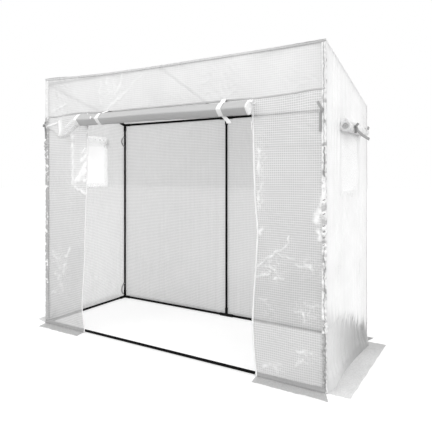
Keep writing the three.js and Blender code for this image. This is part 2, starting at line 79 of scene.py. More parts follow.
WALL_X = high("side_wall_right").x
FRONT_Y = low("front_header").y
BACK_Y = high("back_wall").y
FRONT_TOP = high("roof_panel").z
BACK_TOP = low("roof_panel").z
HEADER_FOOT = low("front_header").z
POST_X = middle("post_lower_front_right").x
POST_Y = middle("post_lower_back_right").y
BASE_Z = middle("base_tube_front").z
FRONT_RAIL_Z = middle("top_tube_front_left").z
BACK_RAIL_Z = middle("top_tube_back_left").z
DEPTH = BACK_Y - FRONT_Y
FALL = (FRONT_TOP - BACK_TOP) / DEPTH
SLOPE = math.atan(FALL)
ROOF_LENGTH = math.hypot(DEPTH, FRONT_TOP - BACK_TOP)

# Tubes and connectors
TUBE_RADIUS = 0.008
TUBE_BORE = 0.0074
SWAGE_RADIUS = 0.0071
SWAGE_BORE = 0.0065
SWAGE_LENGTH = 0.060
SWAGE_TAPER = 0.005
TUBE_LIP = 0.0004
TUBE_SIDES = 32
SOCKET_RADIUS = 0.0109
SLEEVE_RADIUS = 0.0102
SOCKET_BORE = 0.0083
SOCKET_FLOOR = 0.014
LEG_LENGTH = 0.052
COLLAR_LENGTH = 0.009
SLEEVE_SIDES = 48
RIB_HEIGHT = 0.0007

# Front of the cover. Each zip's way is given as heights and how far it is from the middle there.
ZIPS = {
    "left": (
        (0.00, 0.614), (0.08, 0.628), (0.15, 0.638), (0.21, 0.637), (0.32, 0.629), (0.48, 0.617),
        (0.74, 0.609), (0.84, 0.603), (1.05, 0.593), (1.21, 0.588), (1.30, 0.587), (1.38, 0.589)
    ),
    "right": (
        (0.00, 0.638), (0.09, 0.627), (0.16, 0.620), (0.27, 0.615), (0.39, 0.620), (0.54, 0.632),
        (0.67, 0.640), (0.72, 0.643), (0.77, 0.643), (0.88, 0.631), (1.06, 0.623), (1.33, 0.617),
        (1.38, 0.613)
    )
}
PANEL_WIDTH = 0.395
FOLDS = 2
FOLD_DEPTH = 0.005
TAPE_WIDTH = 0.0085
TAPE_OVERHANG = 0.005
SEAM_WIDTH = 0.011
CORNER_STRIPS = {"left": 0.030, "right": 0.021}
CORNER_STRIP_FOOT = 0.28
RAIL_STRIP = 0.013
FOOT_SEAM = 0.014
FRONT_SKIRT_REACH = 0.075
HEADER_HEM = 0.009
HEM_OUT = 0.0009
HEM_THICK = 0.0007
STITCH_OUT = HEM_OUT + HEM_THICK / 2
FOOT_OUT = 0.004
FILM_LIFT = 0.0009

# Side windows
WINDOW_MIDDLE = middle("window_net_right").y
WINDOW_HALF = 0.160
WINDOW_SILL = 0.950
WINDOW_TOP = 1.300
NET_PITCH = 0.005
NET_STRANDS = {"left": 0.0028, "right": 0.0040}
# How far each window's border reaches out from the hole and in over it: near, far, low and top edge
WINDOW_BORDERS = {
    "left": {"out": (0.045, 0.018, 0.014, 0.040), "in": (-0.004, 0.020, 0.018, -0.004)},
    "right": {"out": (0.030, 0.030, 0.030, 0.030), "in": (0.0, 0.0, 0.0, 0.0)}
}

# Rolled door
DOOR_ROLL = middle("door_roll")
DOOR_ROLL_RADIUS = 0.0375
DOOR_ROLL_CORE = 0.003
DOOR_ROLL_TILT = 0.006
DOOR_ROLL_PRESS = 1.15
DOOR_TURNS = 11
DOOR_DROP = 1.34
DOOR_TIES = {"left": -0.432, "right": 0.452}
DOOR_TIE_WIDTH = 0.029
DOOR_SEAM_Z = HEADER_FOOT - 0.006

# Rolled window flaps
FLAP_ROLL = middle("flap_roll_right")
FLAP_ROLL_RADIUS = 0.027
FLAP_ROLL_CORE = 0.015
FLAP_TURNS = 3
FLAP_DROP = 0.34
FLAP_SEAM_Z = 1.330
FLAP_TIES = {"near": -0.085, "far": 0.172}
FLAP_TIE_WIDTH = 0.012
RIBBON_THICK = 0.0008

# Film grid, how much of what is behind it threads and creases hide, and how pale creases are, partly by real
# whitening of the folded film and partly as painted highlight
THREAD_PITCH = 0.0118
THREAD_HALF = 0.0018
THREAD_COVER = 0.92
CREASE_COVER = 0.97
CREASE_LEVEL = 0.96


# Relief of soft pieces
def smooth(value, start, end):
    share = np.clip((value - start) / (end - start), 0, 1)
    return share * share * (3 - 2 * share)


def seed_of(name):
    return sum(ord(letter) * (place + 1) for place, letter in enumerate(name))


def waves(a, b, length, name, headings=(0.0, math.pi), count=11):
    """Uneven smooth relief about one unit high, with hills about one length apart."""
    draw = np.random.default_rng(seed_of(name))
    total = np.zeros(np.broadcast(a, b).shape)
    for _ in range(count):
        heading = draw.uniform(*headings)
        span = length * draw.uniform(0.65, 1.4)
        phase = draw.uniform(0, 2 * math.pi)
        travel = a * math.cos(heading) + b * math.sin(heading)
        total += np.sin(2 * math.pi * travel / span + phase)
    return total / math.sqrt(count / 2)


def creases(a, b, length, name, thin=7.0):
    """Thin branching ridges from 0 to 1, as folded film keeps them."""
    bend = 0.3 * length
    bent_a = a + bend * waves(a, b, 2 * length, name + " bend across")
    bent_b = b + bend * waves(a, b, 2 * length, name + " bend along")
    return np.exp(-thin * np.abs(waves(bent_a, bent_b, length, name)))


def crumple(a, b, name, height=0.0012, length=0.10):
    """Soft hollows everywhere, and thin ridges in patches."""
    gathered = smooth(waves(a, b, 0.45, name + " gathered"), -0.4, 1.4)
    soft = waves(a, b, 0.30, name + " soft")
    fine = waves(a, b, 0.035, name + " fine")
    ridges = creases(a, b, length, name + " ridges")
    return height * (1.2 * soft + (0.25 + gathered) * ridges + 0.2 * gathered * fine)


def packing_folds(a, spacing, height=0.0006, width=0.004):
    """Lines left by folding for the box, one up and the next down."""
    turn = a / spacing
    distance = np.abs(turn - np.round(turn)) * spacing
    upward = np.where(np.round(turn) % 2 == 0, 1, -1)
    return height * upward * np.exp(-((distance / width) ** 2))


def along_line(a, b, points, width):
    """1 on the line through the points, and 0 away from it."""
    nearest = np.full(np.broadcast(a, b).shape, 1.0)
    for (a0, b0), (a1, b1) in zip(points, points[1:]):
        long = (a1 - a0) ** 2 + (b1 - b0) ** 2
        share = np.clip(((a - a0) * (a1 - a0) + (b - b0) * (b1 - b0)) / long, 0, 1)
        gap = np.hypot(a - a0 - share * (a1 - a0), b - b0 - share * (b1 - b0))
        nearest = np.minimum(nearest, gap)
    return np.exp(-((nearest / width) ** 2))


def ripple(travel, length, name):
    """Uneven relief along a line alone."""
    return waves(travel, 0 * travel, length, name, headings=(0, 0))


def pucker(along, name, size=0.0013):
    """How far the stitches pull a sewn edge to and fro."""
    return size * ripple(along, 0.055, name)


def drawn_line(x, points, soft=0.02):
    """A line through points, rounded at each of them."""
    places, values = zip(*points)
    return sum(np.interp(x + shift, places, values) for shift in (-soft, 0.0, soft)) / 3


def corner_shift(side, end, z):
    """How far a corner seam wanders from its post, across and in depth."""
    loose = 0.0013
    if (side, end) == ("left", "front"):
        loose = loose + 0.0035 * smooth(z, 1.12, 1.22) * smooth(z, 1.44, 1.40)
    if (side, end) == ("right", "front"):
        loose = loose + 0.0022 * smooth(z, 1.00, 0.92) * smooth(z, 0.02, 0.10)
    return [np.abs(pucker(z, f"{side} {end} corner {way}", 1.0)) * loose for way in ("across", "deep")]


def corner_shifts(end, across, z):
    """The same, of the corner on that side of the middle."""
    left, right = corner_shift("left", end, z), corner_shift("right", end, z)
    return [np.where(across < 0, *pair) for pair in zip(left, right)]


def near(distance, reach=0.025):
    """1 at no distance, and 0 far beyond the reach."""
    return np.exp(-((distance / reach) ** 2))


# Surfaces of the cover. Each gives x, y, z and the flat coordinates of grid places p and q, and out lifts
# them off the surface on the side that the weather sees.

# Places across, and how far the cover's top edge rises there
TOP_RISE = (
    (-1.00, 0.0240), (-0.90, 0.0180), (-0.80, 0.0130), (-0.70, 0.0095), (-0.60, 0.0050), (-0.45, -0.0005),
    (-0.30, -0.0030), (-0.15, -0.0055), (0.00, -0.0065), (0.92, -0.0065), (1.00, -0.0030)
)
# Places across, and how far the seam under the header rises there
SEAM_RISE = (
    (-1.00, 0.0020), (-0.90, -0.0040), (-0.79, 0.0040), (-0.64, 0.0080), (-0.50, 0.0), (0.55, -0.0040),
    (0.61, -0.0070), (0.77, -0.0040), (0.86, 0.0020), (0.93, 0.0100), (1.00, 0.0080)
)


def top_line(x):
    """The film's top edge at the front, which stands off the rail towards the left corner."""
    return FRONT_TOP + drawn_line(x, TOP_RISE)


def seam_line(x):
    """The seam between the header and the front panels."""
    return HEADER_FOOT + drawn_line(x, SEAM_RISE)


def back_line(x):
    return BACK_TOP - 0.002 * np.sin(math.pi * x / POST_X) ** 2


def side_top(side, y):
    corner = top_line(np.array(WALL_X * SIDES[side])) - FRONT_TOP
    return FRONT_TOP - FALL * (y - FRONT_Y) + corner * np.exp((FRONT_Y - y) / 0.15)


def zip_course(side, z):
    """How far each zip is from the middle at a height."""
    return drawn_line(z, ZIPS[side])


# Creases of the panels and the header: their points across and up, their half width and their height
FRONT_CREASES = [
    (((0.634, 0.557), (0.690, 0.607), (0.738, 0.640), (0.799, 0.674), (0.814, 0.731)), 0.0043, 0.0051),
    (((0.638, 0.514), (0.674, 0.525), (0.706, 0.533)), 0.0043, 0.0037),
    (((0.690, 0.571), (0.730, 0.560), (0.769, 0.522)), 0.0043, 0.0031),
    (((0.730, 0.510), (0.745, 0.519), (0.784, 0.513)), 0.0050, 0.0031),
    (((0.745, 0.641), (0.776, 0.629), (0.844, 0.621)), 0.0036, 0.0029),
    (((0.851, 0.594), (0.888, 0.584), (0.924, 0.595), (0.928, 0.568)), 0.0050, 0.0026),
    (((0.650, 0.720), (0.658, 0.749), (0.678, 0.754)), 0.0043, 0.0034),
    (((0.650, 0.399), (0.690, 0.401)), 0.0058, 0.0020),
    (((0.895, 0.412), (0.917, 0.395), (0.980, 0.411)), 0.0050, 0.0022),
    (((0.851, 0.371), (0.881, 0.362), (0.895, 0.323)), 0.0065, 0.0022),
    (((0.982, 0.925), (0.976, 0.892)), 0.0100, 0.0050),
    (((0.975, 0.862), (0.958, 0.845), (0.955, 0.800)), 0.0140, 0.0052),
    (((0.968, 0.760), (0.975, 0.722)), 0.0110, 0.0046),
    (((0.649, 1.161), (0.649, 1.110), (0.646, 1.049)), 0.0075, 0.0040),
    (((0.671, 0.988), (0.654, 0.947), (0.640, 0.900)), 0.0060, 0.0036),
    (((0.671, 0.764), (0.654, 0.733)), 0.0060, 0.0030), (((0.990, 0.952), (0.984, 0.894)), 0.0058, 0.0043),
    (((0.856, 0.170), (0.888, 0.179), (0.926, 0.175)), 0.0050, 0.0031),
    (((0.875, 0.125), (0.850, 0.099)), 0.0050, 0.0029), (((0.675, 0.057), (0.710, 0.078)), 0.0058, 0.0026),
    (((-0.757, 0.539), (-0.787, 0.461), (-0.824, 0.372)), 0.0110, 0.0022),
    (((-0.800, 0.485), (-0.775, 0.479)), 0.0090, 0.0018),
    (((-0.930, 0.500), (-0.880, 0.440), (-0.850, 0.390)), 0.0140, 0.0013),
    (((-0.870, 0.330), (-0.820, 0.250)), 0.0120, 0.0012),
    (((-0.906, 0.355), (-0.843, 0.345)), 0.0080, 0.0018),
    (((-0.932, 0.218), (-0.894, 0.232)), 0.0080, 0.0018),
    (((-0.600, 1.104), (-0.645, 1.053), (-0.698, 0.998)), 0.0190, 0.0058),
    (((-0.606, 1.060), (-0.640, 1.020), (-0.680, 0.995)), 0.0150, 0.0056),
    (((-0.600, 1.010), (-0.630, 0.992)), 0.0090, 0.0048),
    (((-0.606, 1.205), (-0.631, 1.177)), 0.0100, 0.0050),
    (((-0.596, 1.165), (-0.624, 1.137), (-0.650, 1.125)), 0.0120, 0.0050),
    (((-0.707, 0.953), (-0.664, 0.930), (-0.603, 0.912)), 0.0100, 0.0050),
    (((-0.732, 1.290), (-0.730, 1.150), (-0.732, 0.973)), 0.0120, 0.0040),
    (((-0.420, 1.652), (-0.417, 1.607)), 0.0060, 0.0020),
    (((-0.288, 1.656), (-0.305, 1.596), (-0.330, 1.549)), 0.0060, 0.0022),
    (((-0.128, 1.631), (-0.199, 1.585), (-0.280, 1.519), (-0.364, 1.477), (-0.441, 1.439)), 0.0070, 0.0013),
    (((-0.364, 1.627), (-0.355, 1.563)), 0.0060, 0.0018),
    (((-0.468, 1.625), (-0.477, 1.543), (-0.468, 1.479)), 0.0080, 0.0016),
    (((-0.231, 1.551), (-0.313, 1.510), (-0.381, 1.466)), 0.0080, 0.0014),
    (((-0.936, 1.468), (-0.787, 1.509)), 0.0072, 0.0022)
]
# The same for the loose film at the left corner
SWAG_CREASES = [
    (((-0.968, 1.367), (-0.916, 1.378), (-0.875, 1.386)), 0.008, 0.0080),
    (((-0.845, 1.394), (-0.840, 1.357), (-0.830, 1.329), (-0.835, 1.299)), 0.012, 0.0120),
    (((-0.722, 1.393), (-0.751, 1.372), (-0.781, 1.350)), 0.009, 0.0080),
    (((-0.651, 1.377), (-0.698, 1.352), (-0.747, 1.325), (-0.790, 1.294)), 0.0055, 0.0090),
    (((-0.665, 1.347), (-0.708, 1.323), (-0.747, 1.299)), 0.0055, 0.0065)
]
# Its lower edge, across and up
SWAG_LIP = (
    (-1.000, 1.356), (-0.973, 1.348), (-0.941, 1.346), (-0.900, 1.334), (-0.870, 1.298), (-0.810, 1.289),
    (-0.770, 1.294), (-0.712, 1.328), (-0.674, 1.359), (-0.610, 1.395)
)
# Crushed places: across, up, reach across, reach up, and how strongly
CREASED_PLACES = (
    (0.712, 0.560, 0.070, 0.060, 1.0), (0.922, 0.586, 0.055, 0.050, 0.7), (0.700, 0.350, 0.050, 0.055, 0.6),
    (0.912, 0.373, 0.070, 0.050, 0.7), (0.897, 0.148, 0.050, 0.045, 0.9), (0.740, 0.060, 0.060, 0.040, 0.5),
    (0.655, 1.110, 0.032, 0.130, 1.0), (0.650, 0.900, 0.026, 0.060, 1.2), (0.968, 0.830, 0.024, 0.110, 0.6),
    (-0.905, 0.476, 0.070, 0.080, 0.6), (-0.820, 0.400, 0.060, 0.090, 0.6),
    (-0.854, 0.249, 0.080, 0.070, 0.4), (-0.640, 1.160, 0.035, 0.050, 0.5),
    (-0.650, 0.935, 0.040, 0.030, 0.6), (-0.350, 1.550, 0.140, 0.070, 0.5)
)
PACKING_FOLD_Z = 1.174


def crease_relief(x, z, creases, wander=0.003):
    warped_x = x + wander * waves(x, z, 0.05, "crease bend across")
    warped_z = z + wander * waves(x, z, 0.05, "crease bend up")
    return sum(height * along_line(warped_x, warped_z, points, width) for points, width, height in creases)


def crease_net(x, z):
    """Fine branching creases in the places where the film was crushed."""
    crushed = sum(
        share * np.exp(-(((x - place_x) / reach_x) ** 2) - ((z - place_z) / reach_z) ** 2)
        for place_x, place_z, reach_x, reach_z, share in CREASED_PLACES
    )
    return crushed * creases(x, z, 0.045, "fine crease", 3.3)


def swag_depth(x, z):
    """The left panel's loose film, hung between the corner and the rolled door."""
    above = z - drawn_line(x, SWAG_LIP, 0.008)
    fold = smooth(above, -0.008, 0.004) * (1 - 0.6 * smooth(above, 0.006, 0.09))
    ends = smooth(WALL_X + x, 0.0, 0.05) * smooth(-x, 0.60, 0.66)
    sewn = smooth(z, HEADER_FOOT, HEADER_FOOT - 0.03)
    return sewn * (0.015 * fold * ends + 1.1 * crease_relief(x, z, SWAG_CREASES, 0.0008))


def crease_white(x, z):
    """How pale a crease makes the film, from 0 to 1: partly real whitening, partly painted highlight."""
    sharp = crease_relief(x, z, FRONT_CREASES) / 0.0046
    hung = crease_relief(x, z, SWAG_CREASES, 0.0008) / 0.0085
    broken = 0.80 + 0.20 * waves(x, z, 0.05, "crease white")
    return np.clip(sharp * broken + hung + 0.9 * crease_net(x, z), 0, 1)


def front_depth(x, z, sides_free):
    """How far the front film stands out in hollows, creases and the fold left by its packing."""
    in_swag = smooth(x, -0.62, -0.66) * smooth(z, 1.27, 1.31) * smooth(HEADER_FOOT - z, -0.01, 0.0)
    relief = (1 - 0.8 * in_swag) * crumple(x, z, "front film", 0.0017) + 0.0040 * crease_net(x, z)
    fold = 0.0012 * smooth(z - PACKING_FOLD_Z, -0.006, 0.006) * smooth(z - PACKING_FOLD_Z, 0.20, 0.0)
    return sides_free * (relief + fold) + smooth(sides_free, 0.0, 0.5) * crease_relief(x, z, FRONT_CREASES)


def header_place(p, q, out=0.0):
    """p runs across in metres, and q from 0 at the hem to 1 at the top edge."""
    top, foot = top_line(p), seam_line(p)
    z = foot + q * (top - foot)
    to_corner = WALL_X - np.abs(p)
    edge = near(to_corner)
    free = smooth(to_corner, 0.0, 0.06) * smooth(top - z, 0.0, 0.05)
    shift, deep = corner_shifts("front", p, z)
    pull = pucker(p, "top edge", 0.0009) * near(top - z, 0.02)
    belly = 0.004 * np.sin(math.pi * q) * smooth(to_corner, 0.0, 0.3)
    y = FRONT_Y - front_depth(p, z, free) - deep * edge + pull - belly - out
    return p + np.sign(p) * shift * edge, y, z, p, z


def panel_place(side):
    def place(p, q, out=0.0):
        """p is 0 at the corner and 1 at the zip, and q runs up in metres."""
        sign = SIDES[side]
        x = sign * (WALL_X + (zip_course(side, q) - WALL_X) * p)
        bulge = np.sin(math.pi * q / HEADER_FOOT) ** 2
        folds = FOLD_DEPTH * bulge * p * (0.5 - 0.5 * np.cos(2 * math.pi * FOLDS * p))
        swag = swag_depth(x, q) if side == "left" else 0.0
        corner = PANEL_WIDTH * np.abs(p)
        free = smooth(corner, 0.0, 0.06) * (0.25 + 0.75 * smooth(1 - p, 0.0, 0.14)) * smooth(q, 0.0, 0.05)
        shift, deep = (way * near(corner) for way in corner_shift(side, "front", q))
        foot = FOOT_OUT * smooth(q, 0.025, 0.0)
        y = FRONT_Y + folds - swag - front_depth(x, q, free) - deep - foot - out
        raised = (seam_line(x) - HEADER_FOOT) * smooth(q, 1.25, HEADER_FOOT)
        return x + sign * shift, y, q + FILM_LIFT + raised, PANEL_WIDTH * p, q

    return place


# Depth, and the height there under which a side wall is tucked in
FOOT_LEDGE = ((-0.40, 0.300), (-0.15, 0.290), (0.04, 0.255), (0.16, 0.185), (0.28, 0.130), (0.40, 0.070))
# Depth, and how far a side wall's foot stands out there
FOOT_FLARE = (
    (-0.42, 0.018), (-0.32, 0.019), (-0.12, 0.004), (0.00, 0.002), (0.16, 0.007), (0.30, 0.020), (0.42, 0.028)
)


def side_place(side):
    sign = SIDES[side]

    def place(p, q, out=0.0):
        """p is y, and q runs up in metres. Rows lean with the roof only above the window."""
        level = 1.38
        stretch = (side_top(side, p) - level) / (FRONT_TOP - level)
        z = np.where(q > level, level + (q - level) * stretch, q)
        to_front, to_back = p - FRONT_Y, BACK_Y - p
        streaks = 0.0016 * waves(p, 0.10 * z, 0.055, f"{side} streaks", headings=(-0.4, 0.4))
        soft = crumple(p, z, f"{side} wall", 0.0011)
        lean_in = -0.006 * np.sin(math.pi * np.clip(z / 1.4, 0, 1)) * np.sin(math.pi * to_front / DEPTH)
        ledge = drawn_line(p, FOOT_LEDGE) + 0.012 * ripple(p, 0.07, f"{side} ledge")
        tuck = -0.007 * smooth(z, ledge + 0.012, ledge - 0.012) * smooth(z, 0.0, 0.12)
        from_window = np.abs(p - WINDOW_MIDDLE) - WINDOW_HALF
        window = smooth(from_window, 0.06, 0.02) * smooth(z, WINDOW_SILL - 0.06, WINDOW_SILL)
        window = window * smooth(z, WINDOW_TOP + 0.07, WINDOW_TOP + 0.02)
        free = smooth(to_front, 0, 0.06) * smooth(to_back, 0, 0.06) * smooth(z, 0, 0.05)
        free = free * smooth(side_top(side, p) - z, 0, 0.04)
        folds = packing_folds(p + 0.02, 0.26) + packing_folds(z - 0.11, 0.34)
        depth = free * (streaks + folds + soft * (1 - 0.75 * window) + (lean_in + tuck) * (1 - window))
        front_x, front_y = (way * near(to_front) for way in corner_shift(side, "front", z))
        back_x, back_y = (way * near(to_back) for way in corner_shift(side, "back", z))
        sewn = smooth(to_front, 0, 0.07) * smooth(to_back, 0, 0.07)
        flare = sewn * drawn_line(p, FOOT_FLARE, 0.04) * smooth(z, 0.11, 0.0) ** 1.5
        depth = depth + front_x + back_x + FOOT_OUT * smooth(z, 0.025, 0.0) + flare
        return sign * (WALL_X + depth + out), p - front_y + back_y, z + FILM_LIFT, p, z

    return place


def back_place(p, q, out=0.0):
    """p is x, and q runs from 0 at the ground to 1 at the roof."""
    top = back_line(p)
    z = q * top
    to_corner = WALL_X - np.abs(p)
    free = smooth(to_corner, 0, 0.06) * smooth(z, 0, 0.05) * smooth(top - z, 0, 0.05)
    hollow = 0.008 * np.sin(math.pi * p / POST_X) ** 2 * np.sin(math.pi * q)
    streaks = 0.0014 * waves(p, 0.12 * z, 0.08, "back streaks", headings=(-0.4, 0.4))
    soft = crumple(p, z, "back wall", 0.0013, 0.13)
    folds = packing_folds(p + 0.05, 0.33) + packing_folds(z - 0.07, 0.36)
    shift, deep = (way * near(to_corner) for way in corner_shifts("back", p, z))
    depth = free * (streaks + soft + folds - hollow) + deep + FOOT_OUT * smooth(z, 0.025, 0.0)
    return p + np.sign(p) * shift, BACK_Y + depth + out, z + FILM_LIFT, p, z


def roof_place(p, q, out=0.0):
    """p is x, and q runs from 0 at the front edge to 1 at the back edge."""
    y = FRONT_Y + q * DEPTH
    near_side = smooth(np.abs(p), 0.7, WALL_X)
    side_line = np.where(p < 0, side_top("left", y), side_top("right", y))
    flat = (top_line(p) * (1 - q) + back_line(p) * q) * (1 - near_side) + side_line * near_side
    free = smooth(WALL_X - np.abs(p), 0, 0.05) * smooth(q, 0, 0.06) * smooth(q, 1, 0.94)
    soft = crumple(p, y, "roof film", 0.0011, 0.12)
    folds = packing_folds(p - 0.05, 0.33) + packing_folds(y, 0.3)
    sag = 0.012 * np.abs(np.sin(math.pi * p / POST_X)) ** 1.4 * np.sin(math.pi * q)
    z = flat + free * (soft + folds - sag) + out
    y = y + pucker(p, "top edge", 0.0009) * near(q * ROOF_LENGTH, 0.02) - out * math.sin(SLOPE)
    for side, sign in SIDES.items():
        for end, there, top in (("front", q, FRONT_TOP), ("back", 1 - q, BACK_TOP)):
            shift, _ = corner_shift(side, end, np.array(top))
            p = p + sign * shift * near(WALL_X - sign * p) * near(there * ROOF_LENGTH)
    return p, y, z, p, q * ROOF_LENGTH


def skirt_place(name, start, run, reach, outward, spread=(0.0, 0.0)):
    """A strip on the ground from the foot of a wall. p is 0 to 1 along the wall, q is 0 to 1 outwards, and
    spread is how far each end reaches past its corner at the outer edge."""
    start, run, outward = (Vector(v) for v in (start, run, outward))
    step = run.normalized()

    def place(p, q, out=0.0):
        along = run.length * p
        wide = reach + 0.0007 * ripple(along, 0.16, name + " edge")
        travel = along + (spread[0] * (1 - p) + spread[1] * p) * q
        x, y = (start[k] + step[k] * travel + outward[k] * wide * q for k in range(2))
        wavy = 0.0014 * np.abs(waves(along, reach * q, 0.11, name + " lift"))
        fine = 0.0006 * np.abs(waves(along, reach * q, 0.03, name + " fine"))
        curl = 0.0022 * smooth(q, 0.86, 1.0) * smooth(
            waves(along, 0 * along, 0.14, name + " curl"), -0.2, 1.2
        )
        return x, y, FILM_LIFT + smooth(q, 0.02, 0.2) * (wavy + fine + curl) + out, along, reach * q

    return place


# Meshes
def spaced(start, end, step):
    return np.linspace(start, end, max(2, round(abs(end - start) / step) + 1))


def joined_steps(stops, step):
    """Even steps between each stop and the next."""
    parts = [spaced(start, end, step)[:-1] for start, end in zip(stops, stops[1:])]
    return np.concatenate([*parts, [stops[-1]]])


def cloth(name, patches, finish, thick=0.0, whitened=None):
    """A sheet over one or more patches, each with its grid lines, its surface and perhaps a hole. whitened
    tells from x and z how pale a crease makes it there, by real whitening and painted highlight."""
    places, flats, quads, whites, first = [], [], [], [], 0
    for ps, qs, place, *hole in patches:
        p, q = np.meshgrid(ps, qs)
        x, y, z, across, along = (np.broadcast_to(v, p.shape) for v in place(p, q))
        places.append(np.stack([x, y, z], axis=-1).reshape(-1, 3))
        flats.append(np.stack([across, along], axis=-1).reshape(-1, 2))
        whites.append((whitened(x, z) if whitened else 0 * z).ravel())
        grid = cells(first + np.arange(p.size).reshape(p.shape))
        keep = np.ones(grid.shape[:2], bool)
        if hole:
            p0, p1, q0, q1 = hole[0]
            mid_p, mid_q = ((values[:-1, :-1] + values[1:, 1:]) / 2 for values in (p, q))
            keep = ~((mid_p > p0) & (mid_p < p1) & (mid_q > q0) & (mid_q < q1))
        quads.append(grid[keep])
        first += p.size
    used, quads = np.unique(np.concatenate(quads), return_inverse=True)
    quads = quads.reshape(-1, 4)
    piece = built(name, np.concatenate(places)[used].tolist(), quads.tolist(), finish)
    layer = piece.data.uv_layers.new(name="cloth")
    flat = np.concatenate(flats)[used][quads.ravel()]
    layer.uv.foreach_set("vector", flat.astype(np.float32).ravel())
    if whitened:
        marks = piece.data.attributes.new("crease_white", "FLOAT", "POINT")
        marks.data.foreach_set("value", np.concatenate(whites)[used].astype(np.float32))
    if thick:
        solid = piece.modifiers.new("thickness", "SOLIDIFY")
        solid.thickness = thick
        solid.offset = 0
    return piece


def cells(index):
    """The four corners of each cell of a grid of point numbers."""
    return np.stack([index[:-1, :-1], index[:-1, 1:], index[1:, 1:], index[1:, :-1]], axis=-1)


def linked(name, mesh):
    piece = bpy.data.objects.new(name, mesh)
    bpy.context.scene.collection.objects.link(piece)
    return piece


def built(name, vertices, faces, finish):
    """A piece from its points and faces, in one finish."""
    mesh = bpy.data.meshes.new(name)
    mesh.from_pydata(vertices, [], faces)
    mesh.shade_smooth()
    mesh.materials.append(finish)
    return linked(name, mesh)


def closed_mesh(name, vertices, faces):
    """A closed mesh whose faces look outwards, with points that lie on each other made one."""
    mesh = bpy.data.meshes.new(name)
    mesh.from_pydata(vertices, [], faces)
    work = bmesh.new()
    work.from_mesh(mesh)
    bmesh.ops.remove_doubles(work, verts=work.verts, dist=1e-6)
    bmesh.ops.recalc_face_normals(work, faces=work.faces)
    return filled(mesh, work)


def filled(mesh, work):
    work.to_mesh(mesh)
    work.free()
    return mesh


def joined_rings(rings, sides, closed, kept=None):
    """The faces between rings of points that follow each other."""
    pairs = [(ring, (ring + 1) % rings) for ring in range(rings if closed else rings - 1)]
    around = [(k, (k + 1) % sides) for k in range(sides)]
    kept_pairs = [pair for pair in pairs if kept is None or kept(*pair)]
    return [
        (i * sides + k, i * sides + m, j * sides + m, j * sides + k)
        for i, j in kept_pairs
        for k, m in around
    ]


def turned_mesh(name, profile, start, direction, sides=TUBE_SIDES, ribbed=()):
    """A closed piece turned about a line. profile holds (radius, distance) all the way round its section,
    and ribbed names the points of it that carry lengthwise ribs."""
    turn = Vector(direction).normalized().to_track_quat("Z", "Y").to_matrix()
    vertices = []
    for number, (radius, distance) in enumerate(profile):
        for i in range(sides):
            angle = 2 * math.pi * i / sides
            size = radius + (RIB_HEIGHT if number in ribbed and i % 8 in (0, 1) else 0)
            vertices.append(
                Vector(start) + turn @ Vector((size * math.cos(angle), size * math.sin(angle), distance))
            )
    faces = joined_rings(len(profile), sides, True, lambda i, j: profile[i][0] or profile[j][0])
    return closed_mesh(name, vertices, faces)


def rounded(mesh, finish, angle=35):
    """A mesh in one finish, smooth apart from its edges."""
    mesh.shade_smooth()
    mesh.set_sharp_from_angle(angle=math.radians(angle))
    mesh.materials.clear()
    mesh.materials.append(finish)
    return mesh


def tube_along(name, points, radius, finish, sides=8, flat=1.0, closed=False):
    """A cord along points. flat narrows its section in depth."""
    points = [Vector(p) for p in points]
    count = len(points)
    vertices = []
    side = Vector((0, 0, 1))
    for i, point in enumerate(points):
        before = points[(i - 1) % count] if closed or i else point
        after = points[(i + 1) % count] if closed or i < count - 1 else point
        ahead = (after - before).normalized()
        side = (side - ahead * side.dot(ahead)).normalized()
        up = ahead.cross(side)
        for k in range(sides):
            angle = 2 * math.pi * k / sides
            vertices.append(point + radius * (side * math.cos(angle) + up * (math.sin(angle) * flat)))
    faces = joined_rings(count, sides, closed)
    if not closed:
        faces.append(tuple(reversed(range(sides))))
        faces.append(tuple((count - 1) * sides + k for k in range(sides)))
    return built(name, vertices, faces, finish)


def combined(base, others, operation):
    """The mesh that is left when others are joined to base or cut from it."""
    piece = linked("working", base)
    for other in others:
        tool = linked("tool", other)
        change = piece.modifiers.new("change", "BOOLEAN")
        change.operation = operation
        change.solver = "EXACT"
        change.object = tool
        bpy.context.view_layer.update()
        graph = bpy.context.evaluated_depsgraph_get()
        result = bpy.data.meshes.new_from_object(piece.evaluated_get(graph))
        piece.modifiers.clear()
        piece.data = result
        bpy.data.objects.remove(tool)
    mesh = piece.data
    bpy.data.objects.remove(piece)
    return mesh


def travelled(points):
    """How far along a line each of its points is."""
    return np.concatenate([[0], np.cumsum(np.linalg.norm(np.diff(points, axis=0), axis=1))])


def on_line(points, travel, at):
    """The places on a line at these distances along it."""
    return np.stack([np.interp(at, travel, points[:, k]) for k in range(points.shape[1])], axis=-1)


